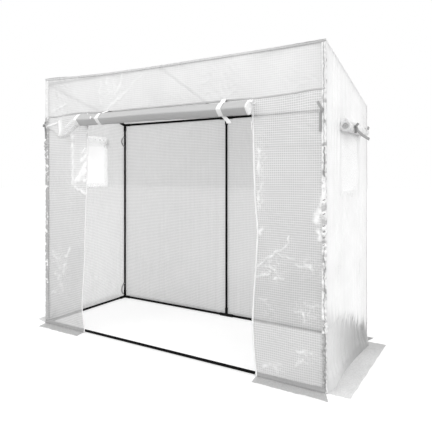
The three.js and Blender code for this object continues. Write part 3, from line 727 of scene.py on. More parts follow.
def stitches(name, rows, finish, pitch=0.0075, length=0.0048, half_width=0.0005):
    """Grains of thread along lines of surfaces. Each row is a surface, its start and end places and how
    far out of the surface the thread lies."""
    vertices, faces = [], []
    for place, start, end, out in rows:
        ps, qs = (first + (last - first) * np.linspace(0, 1, 240) for first, last in zip(start, end))
        base = np.stack(place(ps, qs, out)[:3], axis=-1)
        raised = np.stack(place(ps, qs, out + 0.001)[:3], axis=-1)
        travel = travelled(base)
        count = max(1, int(travel[-1] / pitch))
        centres = (np.arange(count) + 0.5) * travel[-1] / count
        back, ahead = (on_line(base, travel, centres + part * length / 2) for part in (-1, 1))
        centre = on_line(base, travel, centres)
        normal = on_line(raised, travel, centres) - centre
        normal /= np.linalg.norm(normal, axis=1, keepdims=True)
        run = (ahead - back) / np.linalg.norm(ahead - back, axis=1, keepdims=True)
        side = np.cross(run, normal) * half_width
        crown, sole = normal * half_width * 1.2, normal * half_width * 0.4
        grain = np.stack([back, centre + side, centre + crown, centre - side, centre - sole, ahead], axis=1)
        for i in range(count):
            k = len(vertices) + 6 * i
            for a, b in ((1, 2), (2, 3), (3, 4), (4, 1)):
                faces += [(k, k + b, k + a), (k + 5, k + a, k + b)]
        vertices.extend(grain.reshape(-1, 3).tolist())
    return built(name, vertices, faces, finish)


# Shader sums
class Signal:
    """A shader socket that takes part in sums."""

    def __init__(self, shader, socket):
        self.shader = shader
        self.socket = socket

    def math(self, operation, other=0.0, swapped=False):
        first, second = (other, self) if swapped else (self, other)
        return self.shader.node("ShaderNodeMath", {"operation": operation}, {0: first, 1: second})

    def __add__(self, other):
        return self.math("ADD", other)

    def __sub__(self, other):
        return self.math("SUBTRACT", other)

    def __rsub__(self, other):
        return self.math("SUBTRACT", other, swapped=True)

    def __mul__(self, other):
        return self.math("MULTIPLY", other)

    def __truediv__(self, other):
        return self.math("DIVIDE", other)

    def __abs__(self):
        return self.math("ABSOLUTE")

    def largest(self, other):
        return self.math("MAXIMUM", other)

    def from_middle(self, pitch):
        """0 halfway between marks a pitch apart, and 0.5 on them."""
        return abs((self / pitch).math("FRACT") - 0.5)

    def step(self, start, end, first=0.0, last=1.0):
        """Eases from first to last while the value goes from start to end."""
        sockets = {"Value": self, "From Min": start, "From Max": end, "To Min": first, "To Max": last}
        return self.shader.node("ShaderNodeMapRange", {"interpolation_type": "SMOOTHSTEP"}, sockets)

    __radd__ = __add__
    __rmul__ = __mul__


BACKDROP_RAYS = ("Camera", "Glossy", "Transmission")
class Shader:
    """A material or a world, and its nodes."""

    def __init__(self, name, kind="materials"):
        self.owner = getattr(bpy.data, kind).new(name)
        self.owner.use_nodes = True
        self.tree = self.owner.node_tree
        self.tree.nodes.clear()

    def node(self, kind, settings=None, sockets=None, output=0):
        made = self.tree.nodes.new(kind)
        for setting, value in (settings or {}).items():
            setattr(made, setting, value)
        for key, value in (sockets or {}).items():
            if isinstance(value, Signal):
                self.tree.links.new(value.socket, made.inputs[key])
            else:
                made.inputs[key].default_value = value
        return Signal(self, made.outputs[output]) if made.outputs else None

    def cloth_parts(self):
        flat = self.node("ShaderNodeUVMap", {"uv_map": "cloth"})
        return [self.node("ShaderNodeSeparateXYZ", {}, {0: flat}, output=k) for k in range(2)]

    def noise(self, scale, detail=2.0, vector=None):
        vector = vector or self.node("ShaderNodeTexCoord", output="Object")
        return self.node("ShaderNodeTexNoise", {}, {"Scale": scale, "Detail": detail, "Vector": vector})

    def mixed(self, factor, first, second, blend="MIX"):
        settings = {"data_type": "RGBA", "blend_type": blend}
        return self.node("ShaderNodeMix", settings, {0: factor, 6: first, 7: second}, output=2)

    def bump(self, height, distance, strength=1.0):
        return self.node("ShaderNodeBump", {}, {"Height": height, "Distance": distance, "Strength": strength})

    def surface(self, color, roughness, normal, **others):
        sockets = {"Base Color": color, "Roughness": roughness, "Normal": normal}
        sockets.update((name.replace("_", " "), value) for name, value in others.items())
        return self.node("ShaderNodeBsdfPrincipled", {}, sockets)

    def lit_through(self, front, share, level, normal):
        """front, with a share of light that comes through from behind."""
        through = self.node("ShaderNodeBsdfTranslucent", {}, {"Color": grey(level), "Normal": normal})
        return self.node("ShaderNodeMixShader", {}, {0: share, 1: front, 2: through})

    def seen(self):
        """1 on rays that show the backdrop, straight or by glass or gloss, and 0 on those that light."""
        rays = [self.node("ShaderNodeLightPath", output=f"Is {kind} Ray") for kind in BACKDROP_RAYS]
        return rays[0].largest(rays[1]).largest(rays[2])

    def finish(self, shown, output="ShaderNodeOutputMaterial"):
        self.node(output, {}, {"Surface": shown})
        return self.owner


def grey(level):
    return (level, level, level, 1.0)


def threads(across, along):
    """1 on the threads of the film's grid, and 0 between them. The upright ones show less."""
    edge, core = (0.5 - half / THREAD_PITCH for half in (THREAD_HALF, 0.3 * THREAD_HALF))
    upright, level = (way.from_middle(THREAD_PITCH).step(edge, core) for way in (across, along))
    return (upright * 0.75).largest(level)


def film_finish(
    name, cover=0.64, colour=0.84, glow=0.34, weave=1.0, mottle=0.0, foot=1.0, streaked=False, ledge=False,
    gathered=None, aside=None
):
    """See-through film with white threads in it. cover is how much it hides between the threads, foot is
    how grey painted shade makes it at its foot, aside holds the places across between which painted shade
    takes it from 1 to another grey, and gathered the steps of a noise that whitens it, partly as painted
    highlight, where its creases don't."""
    shader = Shader(name)
    across, along = shader.cloth_parts()
    pulled = shader.noise(3.0, 1.0) - 0.5
    grid = threads(across + pulled * 0.008, along + pulled * 0.012) * weave
    cloud = shader.noise(5.0, 3.0)
    if gathered:
        white = shader.noise(30.0, 4.0).step(*gathered)
    else:
        white = shader.node("ShaderNodeAttribute", {"attribute_name": "crease_white"}, output=2)
    hidden = grid * (THREAD_COVER - cover) + cover + (cloud - 0.5) * 0.08
    hidden = hidden + white * (CREASE_COVER - hidden)
    shade = cloud.step(0.3, 0.7, 0.94, 1.0) * shader.noise(170.0, 3.0).step(0.3, 0.7, 1 - mottle, 1.0)
    # Painted shade: darker towards the foot.
    if foot < 1:
        shade = shade * along.step(0.0, 1.5, foot, 1.0)
    # Painted shade: darker between the aside places across.
    if aside:
        start, end, last = aside
        shade = shade * across.step(start, end, 1.0, last)
    if streaked:
        streaks = shader.node("ShaderNodeCombineXYZ", {}, {0: across, 1: along * 0.05})
        shade = shade * shader.noise(34.0, 2.0, streaks).step(0.3, 0.7, 0.965, 1.0)
    # Painted shade under a jagged line near the wall's foot, deeper towards the back.
    if ledge:
        wisps = shader.noise(60.0, 2.0, streaks)
        under = (along - (0.252 - across * 0.33 + (wisps - 0.5) * 0.22)).step(0.045, -0.055)
        shade = shade * (1 - under * across.step(-0.33, 0.20, 0.28, 0.66))
    plain = shader.mixed(grid, grey(colour - 0.02), grey(min(colour + 0.09, 0.96)))
    tint = shader.node("ShaderNodeCombineColor", {}, {0: shade, 1: shade, 2: shade})
    # Creased and gathered places turn pale: partly real whitening, partly painted highlight.
    tone = shader.mixed(white, shader.mixed(1.0, plain, tint, "MULTIPLY"), grey(CREASE_LEVEL))
    normal = shader.bump(grid * 0.6 + shader.noise(90.0, 2.0) * 0.25, 0.0006, 0.7)
    gloss = cloud.step(0.2, 0.8, 0.26, 0.40) + grid * 0.08
    front = shader.surface(tone, gloss, normal, Specular_IOR_Level=0.45)
    body = shader.lit_through(front, shade * (1 - white * 0.6) * glow, colour, normal)
    clear = shader.node("ShaderNodeBsdfTransparent")
    return shader.finish(shader.node("ShaderNodeMixShader", {}, {0: hidden, 1: clear, 2: body}))


def rolled_film_finish(name, colour, glow):
    """The same film wound in many layers, which nothing shows through."""
    shader = Shader(name)
    grid = threads(*shader.cloth_parts())
    cloud = shader.noise(7.0, 3.0)
    tone = shader.mixed(grid * 0.6 + cloud * 0.3, grey(colour - 0.05), grey(colour + 0.05))
    normal = shader.bump(grid * 0.6 + shader.noise(80.0) * 0.25, 0.0005, 0.7)
    front = shader.surface(tone, cloud.step(0.2, 0.8, 0.26, 0.38), normal, Specular_IOR_Level=0.45)
    return shader.finish(shader.lit_through(front, glow, colour, normal))


def woven_finish(name, level, rib=0.0011, furrow=0.86):
    """Narrow woven tape: ribs across it, finer yarns along it and a little soil. furrow is how dark it is
    between the ribs."""
    shader = Shader(name)
    across, along = shader.cloth_parts()
    ribs = along.from_middle(rib).step(0.0, 0.5)
    yarns = across.from_middle(0.6 * rib).step(0.0, 0.5)
    weave = ribs * 0.65 + yarns * 0.35
    soil = shader.noise(25.0, 3.0).step(0.35, 0.75)
    tone = shader.mixed(weave * 0.7 + soil * 0.3, grey(level * furrow), grey(min(level * 1.06, 0.97)))
    normal = shader.bump(weave, 0.0003, 0.8)
    return shader.finish(shader.surface(tone, soil.step(0.0, 1.0, 0.78, 0.88), normal, Sheen_Weight=0.15))


def thread_finish(name, level, scale=900.0, glow=0.0):
    """Twisted thread or net strand."""
    shader = Shader(name)
    twist = shader.noise(scale, 2.0)
    tone = shader.mixed(twist, grey(level * 0.88), grey(min(level * 1.05, 0.97)))
    normal = shader.bump(twist, 0.0002, 0.6)
    shown = shader.surface(tone, twist.step(0, 1, 0.6, 0.85), normal)
    if glow:
        shown = shader.lit_through(shown, glow, level, normal)
    return shader.finish(shown)


def powder_coat_finish(name):
    """Black powder coat on steel tube, with its fine orange peel and rubbed spots."""
    shader = Shader(name)
    peel = shader.noise(700.0, 2.0)
    rubbed = shader.noise(18.0, 5.0).step(0.60, 0.74)
    tone = shader.mixed(rubbed, grey(0.0018), grey(0.006))
    rough = peel.step(0, 1, 0.42, 0.54) + rubbed * 0.12
    return shader.finish(
        shader.surface(tone, rough, shader.bump(peel, 0.00025, 0.35), Specular_IOR_Level=0.05)
    )


def moulded_finish(name):
    """Black moulded plastic with a fine grain and pale scuffs."""
    shader = Shader(name)
    grain = shader.noise(1400.0, 2.0)
    tone = shader.mixed(shader.noise(45.0, 3.0).step(0.45, 0.8), grey(0.003), grey(0.009))
    rough = grain.step(0, 1, 0.50, 0.66)
    return shader.finish(
        shader.surface(tone, rough, shader.bump(grain, 0.0002, 0.5), Specular_IOR_Level=0.10)
    )


def cast_metal_finish(name):
    """Pale cast zip metal, duller where fingers don't rub it."""
    shader = Shader(name)
    worn = shader.noise(320.0, 4.0)
    tone = shader.mixed(worn.step(0.35, 0.7), grey(0.50), grey(0.72))
    rough = worn.step(0, 1, 0.50, 0.30)
    return shader.finish(shader.surface(tone, rough, shader.bump(worn, 0.0002, 0.4), Metallic=0.7))


FILM = film_finish("grid_film")
# The panels' film greys with painted shade towards its foot.
PANEL_FILM = film_finish("grid_film_front", cover=0.62, colour=0.775, foot=0.68)
HEADER_FILM = film_finish("grid_film_header", cover=0.88, colour=0.85)
# The right wall's film is a whiter, more opaque copy of the left one's, painted bright for the strong light
# on that side, with painted shade under a jagged line near its foot.
WALL_FILMS = {
    "left": film_finish("grid_film_left_wall", cover=0.66, colour=0.79, streaked=True),
    "right": film_finish("grid_film_right_wall", 0.97, 0.96, 0.20, weave=0.5, streaked=True, ledge=True)
}
# The back wall's film is painted darker than the film, and greys with painted shade towards its foot and its
# right end.
BACK_FILM = film_finish("grid_film_back_wall", cover=0.64, colour=0.70, foot=0.88, aside=(-1.0, 0.55, 0.80))
# The right skirt darkens towards its back end and the back skirt at its right tip: painted shade.
SKIRT_FILMS = {
    "left": film_finish("grid_film_left_skirt", cover=0.90, colour=0.88, weave=0.3, mottle=0.24),
    "right": film_finish(
        "grid_film_right_skirt", 0.90, 0.90, weave=0.3, mottle=0.24, aside=(0.50, 0.78, 0.66)
    ),
    "back": film_finish("grid_film_back_skirt", 0.90, 0.88, weave=0.3, mottle=0.24, aside=(1.88, 1.99, 0.34))
}
FRONT_SKIRT_FILM = film_finish("grid_film_front_skirt", cover=0.82, colour=0.60, weave=0.3, mottle=0.26)
HEM_FILM = film_finish("doubled_grid_film", cover=0.96, colour=0.95, glow=0.20, weave=0.5)
# The panels' foot strips are painted dark grey for the base tube and its shade behind them.
FOOT_FILM = film_finish("film_shaded_over_base_tube", cover=0.80, colour=0.56, weave=0.3, mottle=0.16)
# The left window's border is made clear and strongly lit through, and the right one white and opaque, so that
# each reads as bright as the light on its side: painted light.
BORDER_FILMS = {
    "left": film_finish("clear_window_border", cover=0.30, colour=0.95, glow=0.60, weave=0.2),
    "right": film_finish("white_window_border", cover=0.97, colour=0.96, glow=0.40, weave=0.3)
}
# The corner seams are painted dark grey for the post and the shade of their puckers, with painted highlights
# where the noise whitens them.
CORNER_FILMS = {
    "left": film_finish(
        "gathered_left_seam", cover=0.96, colour=0.52, glow=0.2, weave=0.2, gathered=(0.50, 0.64)
    ),
    "right": film_finish(
        "gathered_right_seam", cover=0.97, colour=0.62, glow=0.2, weave=0.2, gathered=(0.38, 0.52)
    )
}
# The film over the front rail is painted grey for the rail's shade behind it, and darker still towards the
# right corner.
RAIL_FILM = film_finish("film_over_rail", 0.95, 0.74, 0.2, weave=0.3, mottle=0.12, aside=(0.55, 1.0, 0.74))
# The header's hem is painted grey for the shadow between it and the door roll.
SEAM_FILM = film_finish("film_at_header_seam", cover=0.95, colour=0.68, glow=0.2, weave=0.3, mottle=0.10)
# The corner strips near the ground are painted grey for the post and the shade in their gathered folds.
LOW_CORNER_FILM = film_finish("gathered_foot_film", cover=0.84, colour=0.72, glow=0.2, weave=0.5, mottle=0.40)
# The door roll's film is painted far darker than the film, for the shade on and between its turns.
ROLLED_FILM = rolled_film_finish("wound_door_film", 0.51, 0.06)
# The left flap is made nearly clear and strongly lit through so that it reads bright from inside: painted
# light.
FLAP_FILMS = {
    "left": film_finish("wound_left_flap_film", cover=0.12, colour=0.96, glow=0.85, weave=0.1),
    "right": rolled_film_finish("wound_right_flap_film", 0.96, 0.35)
}
FLAP_EDGE_FILM = film_finish("white_flap_edge", cover=0.98, colour=0.96, glow=0.05, weave=0.2)
# The left heart is the same clear, lit-through copy, and the right one is painted grey for the shade between
# its inner turns.
FLAP_HEARTS = {
    "left": film_finish("pale_flap_heart", cover=0.12, colour=0.96, glow=0.85, weave=0.1),
    "right": rolled_film_finish("wound_flap_heart", 0.62, 0.10)
}
STEEL = powder_coat_finish("black_powder_coat")
PLASTIC = moulded_finish("black_moulded_plastic")
ZIP_TAPE = woven_finish("white_zip_tape", 0.95, 0.0009, furrow=0.93)
WHITE_RIBBON = woven_finish("white_ribbon", 0.95, furrow=0.92)
SEAM_RIBBON = woven_finish("shaded_seam_ribbon", 0.56)
GREY_RIBBON = woven_finish("grey_ribbon", 0.34)
# The left net is strongly lit through and the right one barely, so that each reads as bright as the light on
# its side: painted light.
NET_THREADS = {
    "left": thread_finish("clear_net_strand", 0.91, 500.0, 0.90),
    "right": thread_finish("white_net_strand", 0.96, 500.0, 0.15)
}
DARK_RIBBON = woven_finish("shaded_ribbon_knot", 0.22)
PALE_RIBBON = woven_finish("pale_flap_ribbon", 0.86)
POST_RIBBON = woven_finish("ribbon_on_post", 0.03)
COIL_THREAD = thread_finish("white_zip_coil", 0.88)
# The seam thread is painted grey for the shade in its needle holes, and the pale one is the same thread
# painted lighter for the brightly lit right wall and roof.
STITCH_THREAD = thread_finish("grey_stitch_thread", 0.40)
PALE_THREAD = thread_finish("pale_stitch_thread", 0.88)
CORNER_CORD = thread_finish("grey_corner_cord", 0.30)
ZIP_METAL = cast_metal_finish("dull_zip_metal")


def fit(piece, stands_for=(), body=ROOT):
    """Hides the CAD nodes that the piece stands for, and lets it ride."""
    if stands_for:
        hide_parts(*stands_for)
    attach(piece, body)
    return piece


# Frame
def tube_profile(length, swaged):
    lip, radius = TUBE_LIP, TUBE_RADIUS
    mouth = [(radius, length - lip), (radius - lip, length), (TUBE_BORE, length)]
    if not swaged:
        return [(TUBE_BORE, 0), (radius - lip, 0), (radius, lip)] + mouth
    shoulder = SWAGE_LENGTH + SWAGE_TAPER
    thin = [(SWAGE_BORE, 0), (SWAGE_RADIUS - lip, 0), (SWAGE_RADIUS, lip), (SWAGE_RADIUS, SWAGE_LENGTH)]
    inside = [(TUBE_BORE, shoulder), (SWAGE_BORE, SWAGE_LENGTH)]
    return thin + [(radius, shoulder)] + mouth + inside


def dress_tube(node):
    lowest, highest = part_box(node)
    size, centre = highest - lowest, (lowest + highest) / 2
    if node.startswith("roof"):
        direction = Vector((0, math.cos(SLOPE), -math.sin(SLOPE)))
        length = (size.y - 2 * TUBE_RADIUS * math.sin(SLOPE)) / math.cos(SLOPE)
    else:
        longest = max(range(3), key=lambda k: size[k])
        direction = Vector([float(k == longest) for k in range(3)])
        length = size[longest]
    profile = tube_profile(length, node.startswith("post_upper"))
    mesh = turned_mesh(node + "_tube", profile, centre - direction * length / 2, direction)
    fit(linked(node + "_tube", rounded(mesh, STEEL)), [node])


def dress_connector(node, hub, legs):
    """Sleeves from a round hub, one for each leg, with collars at their mouths and bored for the tubes."""
    collar, bevel = LEG_LENGTH - COLLAR_LENGTH, 0.0006
    sleeve = [(0, 0), (SLEEVE_RADIUS, 0), (SLEEVE_RADIUS, collar - 0.001), (SOCKET_RADIUS, collar)]
    sleeve += [(SOCKET_RADIUS, LEG_LENGTH - bevel), (SOCKET_RADIUS - bevel, LEG_LENGTH), (0, LEG_LENGTH)]
    mouth = LEG_LENGTH + 0.001
    bore = [(0, SOCKET_FLOOR), (SOCKET_BORE, SOCKET_FLOOR), (SOCKET_BORE, mouth), (0, mouth)]
    turns = [math.pi * k / 12 for k in range(13)]
    ball = [(SOCKET_RADIUS * math.sin(turn), -SOCKET_RADIUS * math.cos(turn)) for turn in turns]
    ball[0], ball[-1] = (0, -SOCKET_RADIUS), (0, SOCKET_RADIUS)
    core = turned_mesh("hub", ball, hub, (0.31, 0.17, 1), SLEEVE_SIDES)
    outside = [turned_mesh("sleeve", sleeve, hub, leg, SLEEVE_SIDES, ribbed=(1, 2)) for leg in legs]
    inside = [turned_mesh("bore", bore, hub, leg, TUBE_SIDES) for leg in legs]
    mesh = combined(combined(core, outside, "UNION"), inside, "DIFFERENCE")
    mesh.name = node + "_fitting"
    fit(linked(node + "_fitting", rounded(mesh, PLASTIC)), [node])


def dress_frame():
    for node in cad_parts:
        if "_tube_" in node or node.startswith("post_"):
            dress_tube(node)
    left, right, back, front = (-1, 0, 0), (1, 0, 0), (0, 1, 0), (0, -1, 0)
    up, down = (0, 0, 1), (0, 0, -1)
    down_roof = (0, math.cos(SLOPE), -math.sin(SLOPE))
    up_roof = (0, -math.cos(SLOPE), math.sin(SLOPE))
    for side, sign in SIDES.items():
        x, inward = sign * POST_X, (-sign, 0, 0)
        dress_connector(f"base_corner_front_{side}", (x, -POST_Y, BASE_Z), [inward, back, up])
        dress_connector(f"base_corner_back_{side}", (x, POST_Y, BASE_Z), [inward, front, up])
        dress_connector(f"top_corner_front_{side}", (x, -POST_Y, FRONT_RAIL_Z), [inward, down, down_roof])
        dress_connector(f"top_corner_back_{side}", (x, POST_Y, BACK_RAIL_Z), [inward, down, up_roof])
    dress_connector("base_tee_back", (0, POST_Y, BASE_Z), [left, right, up])
    dress_connector("top_tee_front", (0, -POST_Y, FRONT_RAIL_Z), [left, right, down_roof])
    dress_connector("top_cross_back", (0, POST_Y, BACK_RAIL_Z), [left, right, down, up_roof])


def sewn(name, patches, finish, thick=0.0, slot="cover_film", stands_for=(), body=ROOT, whitened=None):
    """A piece of cloth on its body; slot is not used."""
    return fit(cloth(name, patches, finish, thick, whitened), stands_for, body)


def hem(name, place, grids, finish=HEM_FILM, thick=HEM_THICK):
    """Strips sewn on a surface, each with its grid lines and perhaps a hole."""
    return sewn(name, [(ps, qs, lifted(place), *hole) for ps, qs, *hole in grids], finish, thick)


def lifted(place, out=HEM_OUT):
    return lambda p, q: place(p, q, out)


def dress_header():
    across = spaced(-WALL_X, WALL_X, 0.006)
    tall = FRONT_TOP - HEADER_FOOT
    hem_share, rail_share = HEADER_HEM / tall, RAIL_STRIP / tall
    patch = (across, spaced(0, 1, 0.02), header_place)
    panel = sewn(
        "front_header_film", [patch], HEADER_FILM, stands_for=["front_header"], whitened=crease_white
    )
    pieces = [
        hem("front_header_hem", header_place, [(across, spaced(0, hem_share, 0.02))], SEAM_FILM),
        hem("front_header_rail_edge", header_place, [(across, spaced(1 - rail_share, 1, 0.02))], RAIL_FILM)
    ]
    rows = spaced(0, 1 - rail_share, 0.02)
    for side, sign in SIDES.items():
        xs = sign * spaced(WALL_X - CORNER_STRIPS[side], WALL_X, 0.0035)
        pieces.append(hem(f"front_header_{side}_strip", header_place, [(xs, rows)]))
    return [(header_place, (-0.98, 0.6 * hem_share), (0.98, 0.6 * hem_share), STITCH_OUT)]


def dress_front_panel(side):
    place = panel_place(side)
    node = f"front_panel_{side}"
    patch = (spaced(0, 1, 0.0115), spaced(0, HEADER_FOOT, 0.0045), place)
    panel = sewn(f"{node}_film", [patch], PANEL_FILM, stands_for=[node], whitened=crease_white)
    reach, over = TAPE_WIDTH / PANEL_WIDTH, TAPE_OVERHANG / PANEL_WIDTH
    woven = (spaced(1 + over - reach, 1 + over, 0.008), spaced(0, HEADER_FOOT, 0.006), lifted(place))
    tape = sewn(f"zip_tape_{side}_woven", [woven], ZIP_TAPE, 0.0009, "zip_tape", [f"zip_tape_{side}"])
    xs = spaced(0, CORNER_STRIPS[side] / PANEL_WIDTH, 0.0088)
    foot_xs = spaced(0.012, 1 - 0.008 / PANEL_WIDTH, 0.0115)
    rows = spaced(CORNER_STRIP_FOOT, HEADER_FOOT, 0.0045)
    low_rows = spaced(0.026, CORNER_STRIP_FOOT - 0.002, 0.0045)
    sewn_on = [
        tape, hem(f"{node}_strip", place, [(xs, rows)], CORNER_FILMS[side]),
        hem(f"{node}_foot", place, [(foot_xs, spaced(0.003, 0.024, 0.003))], FOOT_FILM),
        hem(f"{node}_low_strip", place, [(xs, low_rows)], LOW_CORNER_FILM, 0.0)
    ]
    dress_zip_coil(side, place, 1 + over)
    inner = 1 + over - reach - 0.002 / PANEL_WIDTH
    edge = 0.4 * CORNER_STRIPS[side] / PANEL_WIDTH
    return [
        (place, (inner, 0.004), (inner, HEADER_FOOT - 0.002), 0.0002),
        (place, (edge, CORNER_STRIP_FOOT), (edge, HEADER_FOOT - 0.002), STITCH_OUT)
    ]


def dress_zip_coil(side, place, edge):
    """The coil of one zip half, a spiral of thread along the tape's free edge."""
    turns, steps = 500, 7
    q = np.linspace(0.004, HEADER_FOOT - 0.004, turns * steps + 1)
    x, y, z, *_ = place(np.full_like(q, edge), q, HEM_OUT + 0.0008)
    angle = 2 * math.pi * np.arange(q.size) / steps
    points = np.stack([x + 0.0016 * np.cos(angle), y + 0.0010 * np.sin(angle), z], axis=-1)
    fit(tube_along(f"zip_coil_{side}", points, 0.0006, COIL_THREAD, sides=4))


def widened(box, reach):
    """A box of near, far, low and top edge, with each moved out by its reach."""
    return tuple(edge + way * more for edge, way, more in zip(box, (-1, 1, -1, 1), reach))


def dress_side_wall(side):
    place = side_place(side)
    window = (WINDOW_MIDDLE - WINDOW_HALF, WINDOW_MIDDLE + WINDOW_HALF, WINDOW_SILL, WINDOW_TOP)
    border = WINDOW_BORDERS[side]
    rim = widened(window, border["out"])
    hole = widened(window, [-over for over in border["in"]])
    opening = widened(rim, [-0.004] * 4)
    ys = joined_steps([FRONT_Y, opening[0], opening[1], BACK_Y], 0.0075)
    zs = joined_steps([0, opening[2], opening[3], FRONT_TOP], 0.009)
    node = f"side_wall_{side}"
    wall = sewn(f"{node}_film", [(ys, zs, place, opening)], WALL_FILMS[side], stands_for=[node])
    border_ys = joined_steps([rim[0], hole[0], hole[1], rim[1]], 0.0075)
    border_zs = joined_steps([rim[2], hole[2], hole[3], rim[3]], 0.0075)
    near_ys = spaced(FRONT_Y, FRONT_Y + SEAM_WIDTH, 0.0035)
    sewn_on = [
        hem(f"window_border_{side}", place, [(border_ys, border_zs, hole)], BORDER_FILMS[side], 0.0),
        hem(f"{node}_seams", place, [(ys, spaced(FRONT_TOP - SEAM_WIDTH, FRONT_TOP, 0.004))], thick=0.0),
        hem(f"{node}_front_strip", place, [(near_ys, zs)], CORNER_FILMS[side]),
        hem(f"{node}_back_strip", place, [(spaced(BACK_Y - SEAM_WIDTH, BACK_Y, 0.004), zs)])
    ]
    area = DEPTH * (FRONT_TOP + BACK_TOP) / 2 - (opening[1] - opening[0]) * (opening[3] - opening[2])
    dress_net(side)
    near_y, far_y = FRONT_Y + 0.45 * SEAM_WIDTH, BACK_Y - 0.75 * SEAM_WIDTH
    rows = [(place, (y, 0.004), (y, FRONT_TOP - 0.004), STITCH_OUT) for y in (near_y, far_y)]
    rows.append((place, (FRONT_Y, FRONT_TOP - 0.009), (BACK_Y, FRONT_TOP - 0.009), STITCH_OUT))
    for line in (widened(hole, [0.005] * 4), widened(rim, [-0.005] * 4)):
        near_edge, far_edge, bottom, top = line
        corners = [
            (near_edge, bottom), (far_edge, bottom), (far_edge, top), (near_edge, top), (near_edge, bottom)
        ]
        rows.extend((place, start, end, STITCH_OUT) for start, end in zip(corners, corners[1:]))
    return rows


def dress_net(side):
    """Insect net sewn to the inside of the wall over the window hole: strands in a square grid."""
    node = f"window_net_{side}"
    lowest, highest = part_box(node)
    strand = NET_STRANDS[side]

    def strand_edges(start, end):
        count = round((end - start) / NET_PITCH)
        pitch = (end - start) / count
        edges = [start + i * pitch + half for i in range(count) for half in (-strand / 2, strand / 2)]
        return np.array(edges[1:])

    p, q = np.meshgrid(strand_edges(lowest.y, highest.y), strand_edges(lowest.z, highest.z))
    sag = 0.0016 * waves(p, q, 0.22, f"{side} net") - 0.0008
    places = np.stack([middle(node).x + SIDES[side] * sag, p, q], axis=-1).reshape(-1, 3)
    grid = cells(np.arange(p.size).reshape(p.shape))
    row, column = np.indices(grid.shape[:2])
    used, quads = np.unique(grid[(row % 2 == 1) | (column % 2 == 1)], return_inverse=True)
    net = built(node + "_mesh", places[used].tolist(), quads.reshape(-1, 4).tolist(), NET_THREADS[side])
    fit(net, [node])


def side_strips(rows):
    """The grid lines of the seams at a surface's left and right edge."""
    return [
        (spaced(*ends, 0.004), rows)
        for ends in ((-WALL_X, SEAM_WIDTH - WALL_X), (WALL_X - SEAM_WIDTH, WALL_X))
    ]


def round_rows(place, inset):
    """The stitch rows round a surface's four edges."""
    edge = WALL_X - 0.75 * SEAM_WIDTH
    level = [((-edge, q), (edge, q)) for q in (inset, 1 - inset)]
    upright = [((x, 0.004), (x, 0.996)) for x in (-edge, edge)]
    return [(place, start, end, STITCH_OUT) for start, end in level + upright]


def dress_back_wall():
    across, up = spaced(-WALL_X, WALL_X, 0.009), spaced(0, 1, 0.0065)
    wall = sewn("back_wall_film", [(across, up, back_place)], BACK_FILM, stands_for=["back_wall"])
    share = FOOT_SEAM / BACK_TOP
    strips = [(across, spaced(0.002, share, 0.003)), (across, spaced(1 - share, 1, 0.003))]
    seams = hem("back_wall_seams", back_place, strips + side_strips(up))
    return round_rows(back_place, 0.7 * share)


def dress_roof():
    across, down = spaced(-WALL_X, WALL_X, 0.009), spaced(0, 1, 0.012)
    roof = sewn("roof_film", [(across, down, roof_place)], FILM, stands_for=["roof_panel"])
    share = SEAM_WIDTH / ROOF_LENGTH
    strips = [(across, spaced(0, share, 0.006)), (across, spaced(1 - share, 1, 0.006))]
    seams = hem("roof_seams", roof_place, strips + side_strips(down), thick=0.0)
    return round_rows(roof_place, 0.75 * share)


def dress_skirts():
    side_reach, back_reach = high("skirt_right").x - WALL_X, high("skirt_back").y - BACK_Y
    near_left, near_right = (-WALL_X, FRONT_Y, 0), (WALL_X, FRONT_Y, 0)
    left_zip, right_zip = (float(zip_course(side, np.array(0.0))) for side in SIDES)
    deep, wide = (0, DEPTH, 0), (2 * WALL_X, 0, 0)
    left_run, right_run = (WALL_X - left_zip, 0, 0), (WALL_X - right_zip, 0, 0)
    right_start = (right_zip, FRONT_Y, 0)
    # Start, run along the wall, reach, way out, and how far the ends reach past the corners
    skirts = {
        "right": (near_right, deep, side_reach, (1, 0, 0), (0.008, 0.001)),
        "left": (near_left, deep, side_reach, (-1, 0, 0), (0.028, 0.004)),
        "back": ((-WALL_X, BACK_Y, 0), wide, back_reach, (0, 1, 0), (-0.012, 0.024)),
        "front_left": (near_left, left_run, FRONT_SKIRT_REACH, (0, -1, 0), (0.023, 0.008)),
        "front_right": (right_start, right_run, FRONT_SKIRT_REACH, (0, -1, 0), (0.007, 0.037))
    }
    for name, (start, run, reach, outward, spread) in skirts.items():
        length = Vector(run).length
        place = skirt_place(name, start, run, reach, outward, spread)
        patch = (spaced(0, 1, 0.006 / length), spaced(0, 1, 0.005 / reach), place)
        finish = SKIRT_FILMS.get(name, FRONT_SKIRT_FILM)
        skirt = sewn(f"skirt_{name}_film", [patch], finish, stands_for=[f"skirt_{name}"])


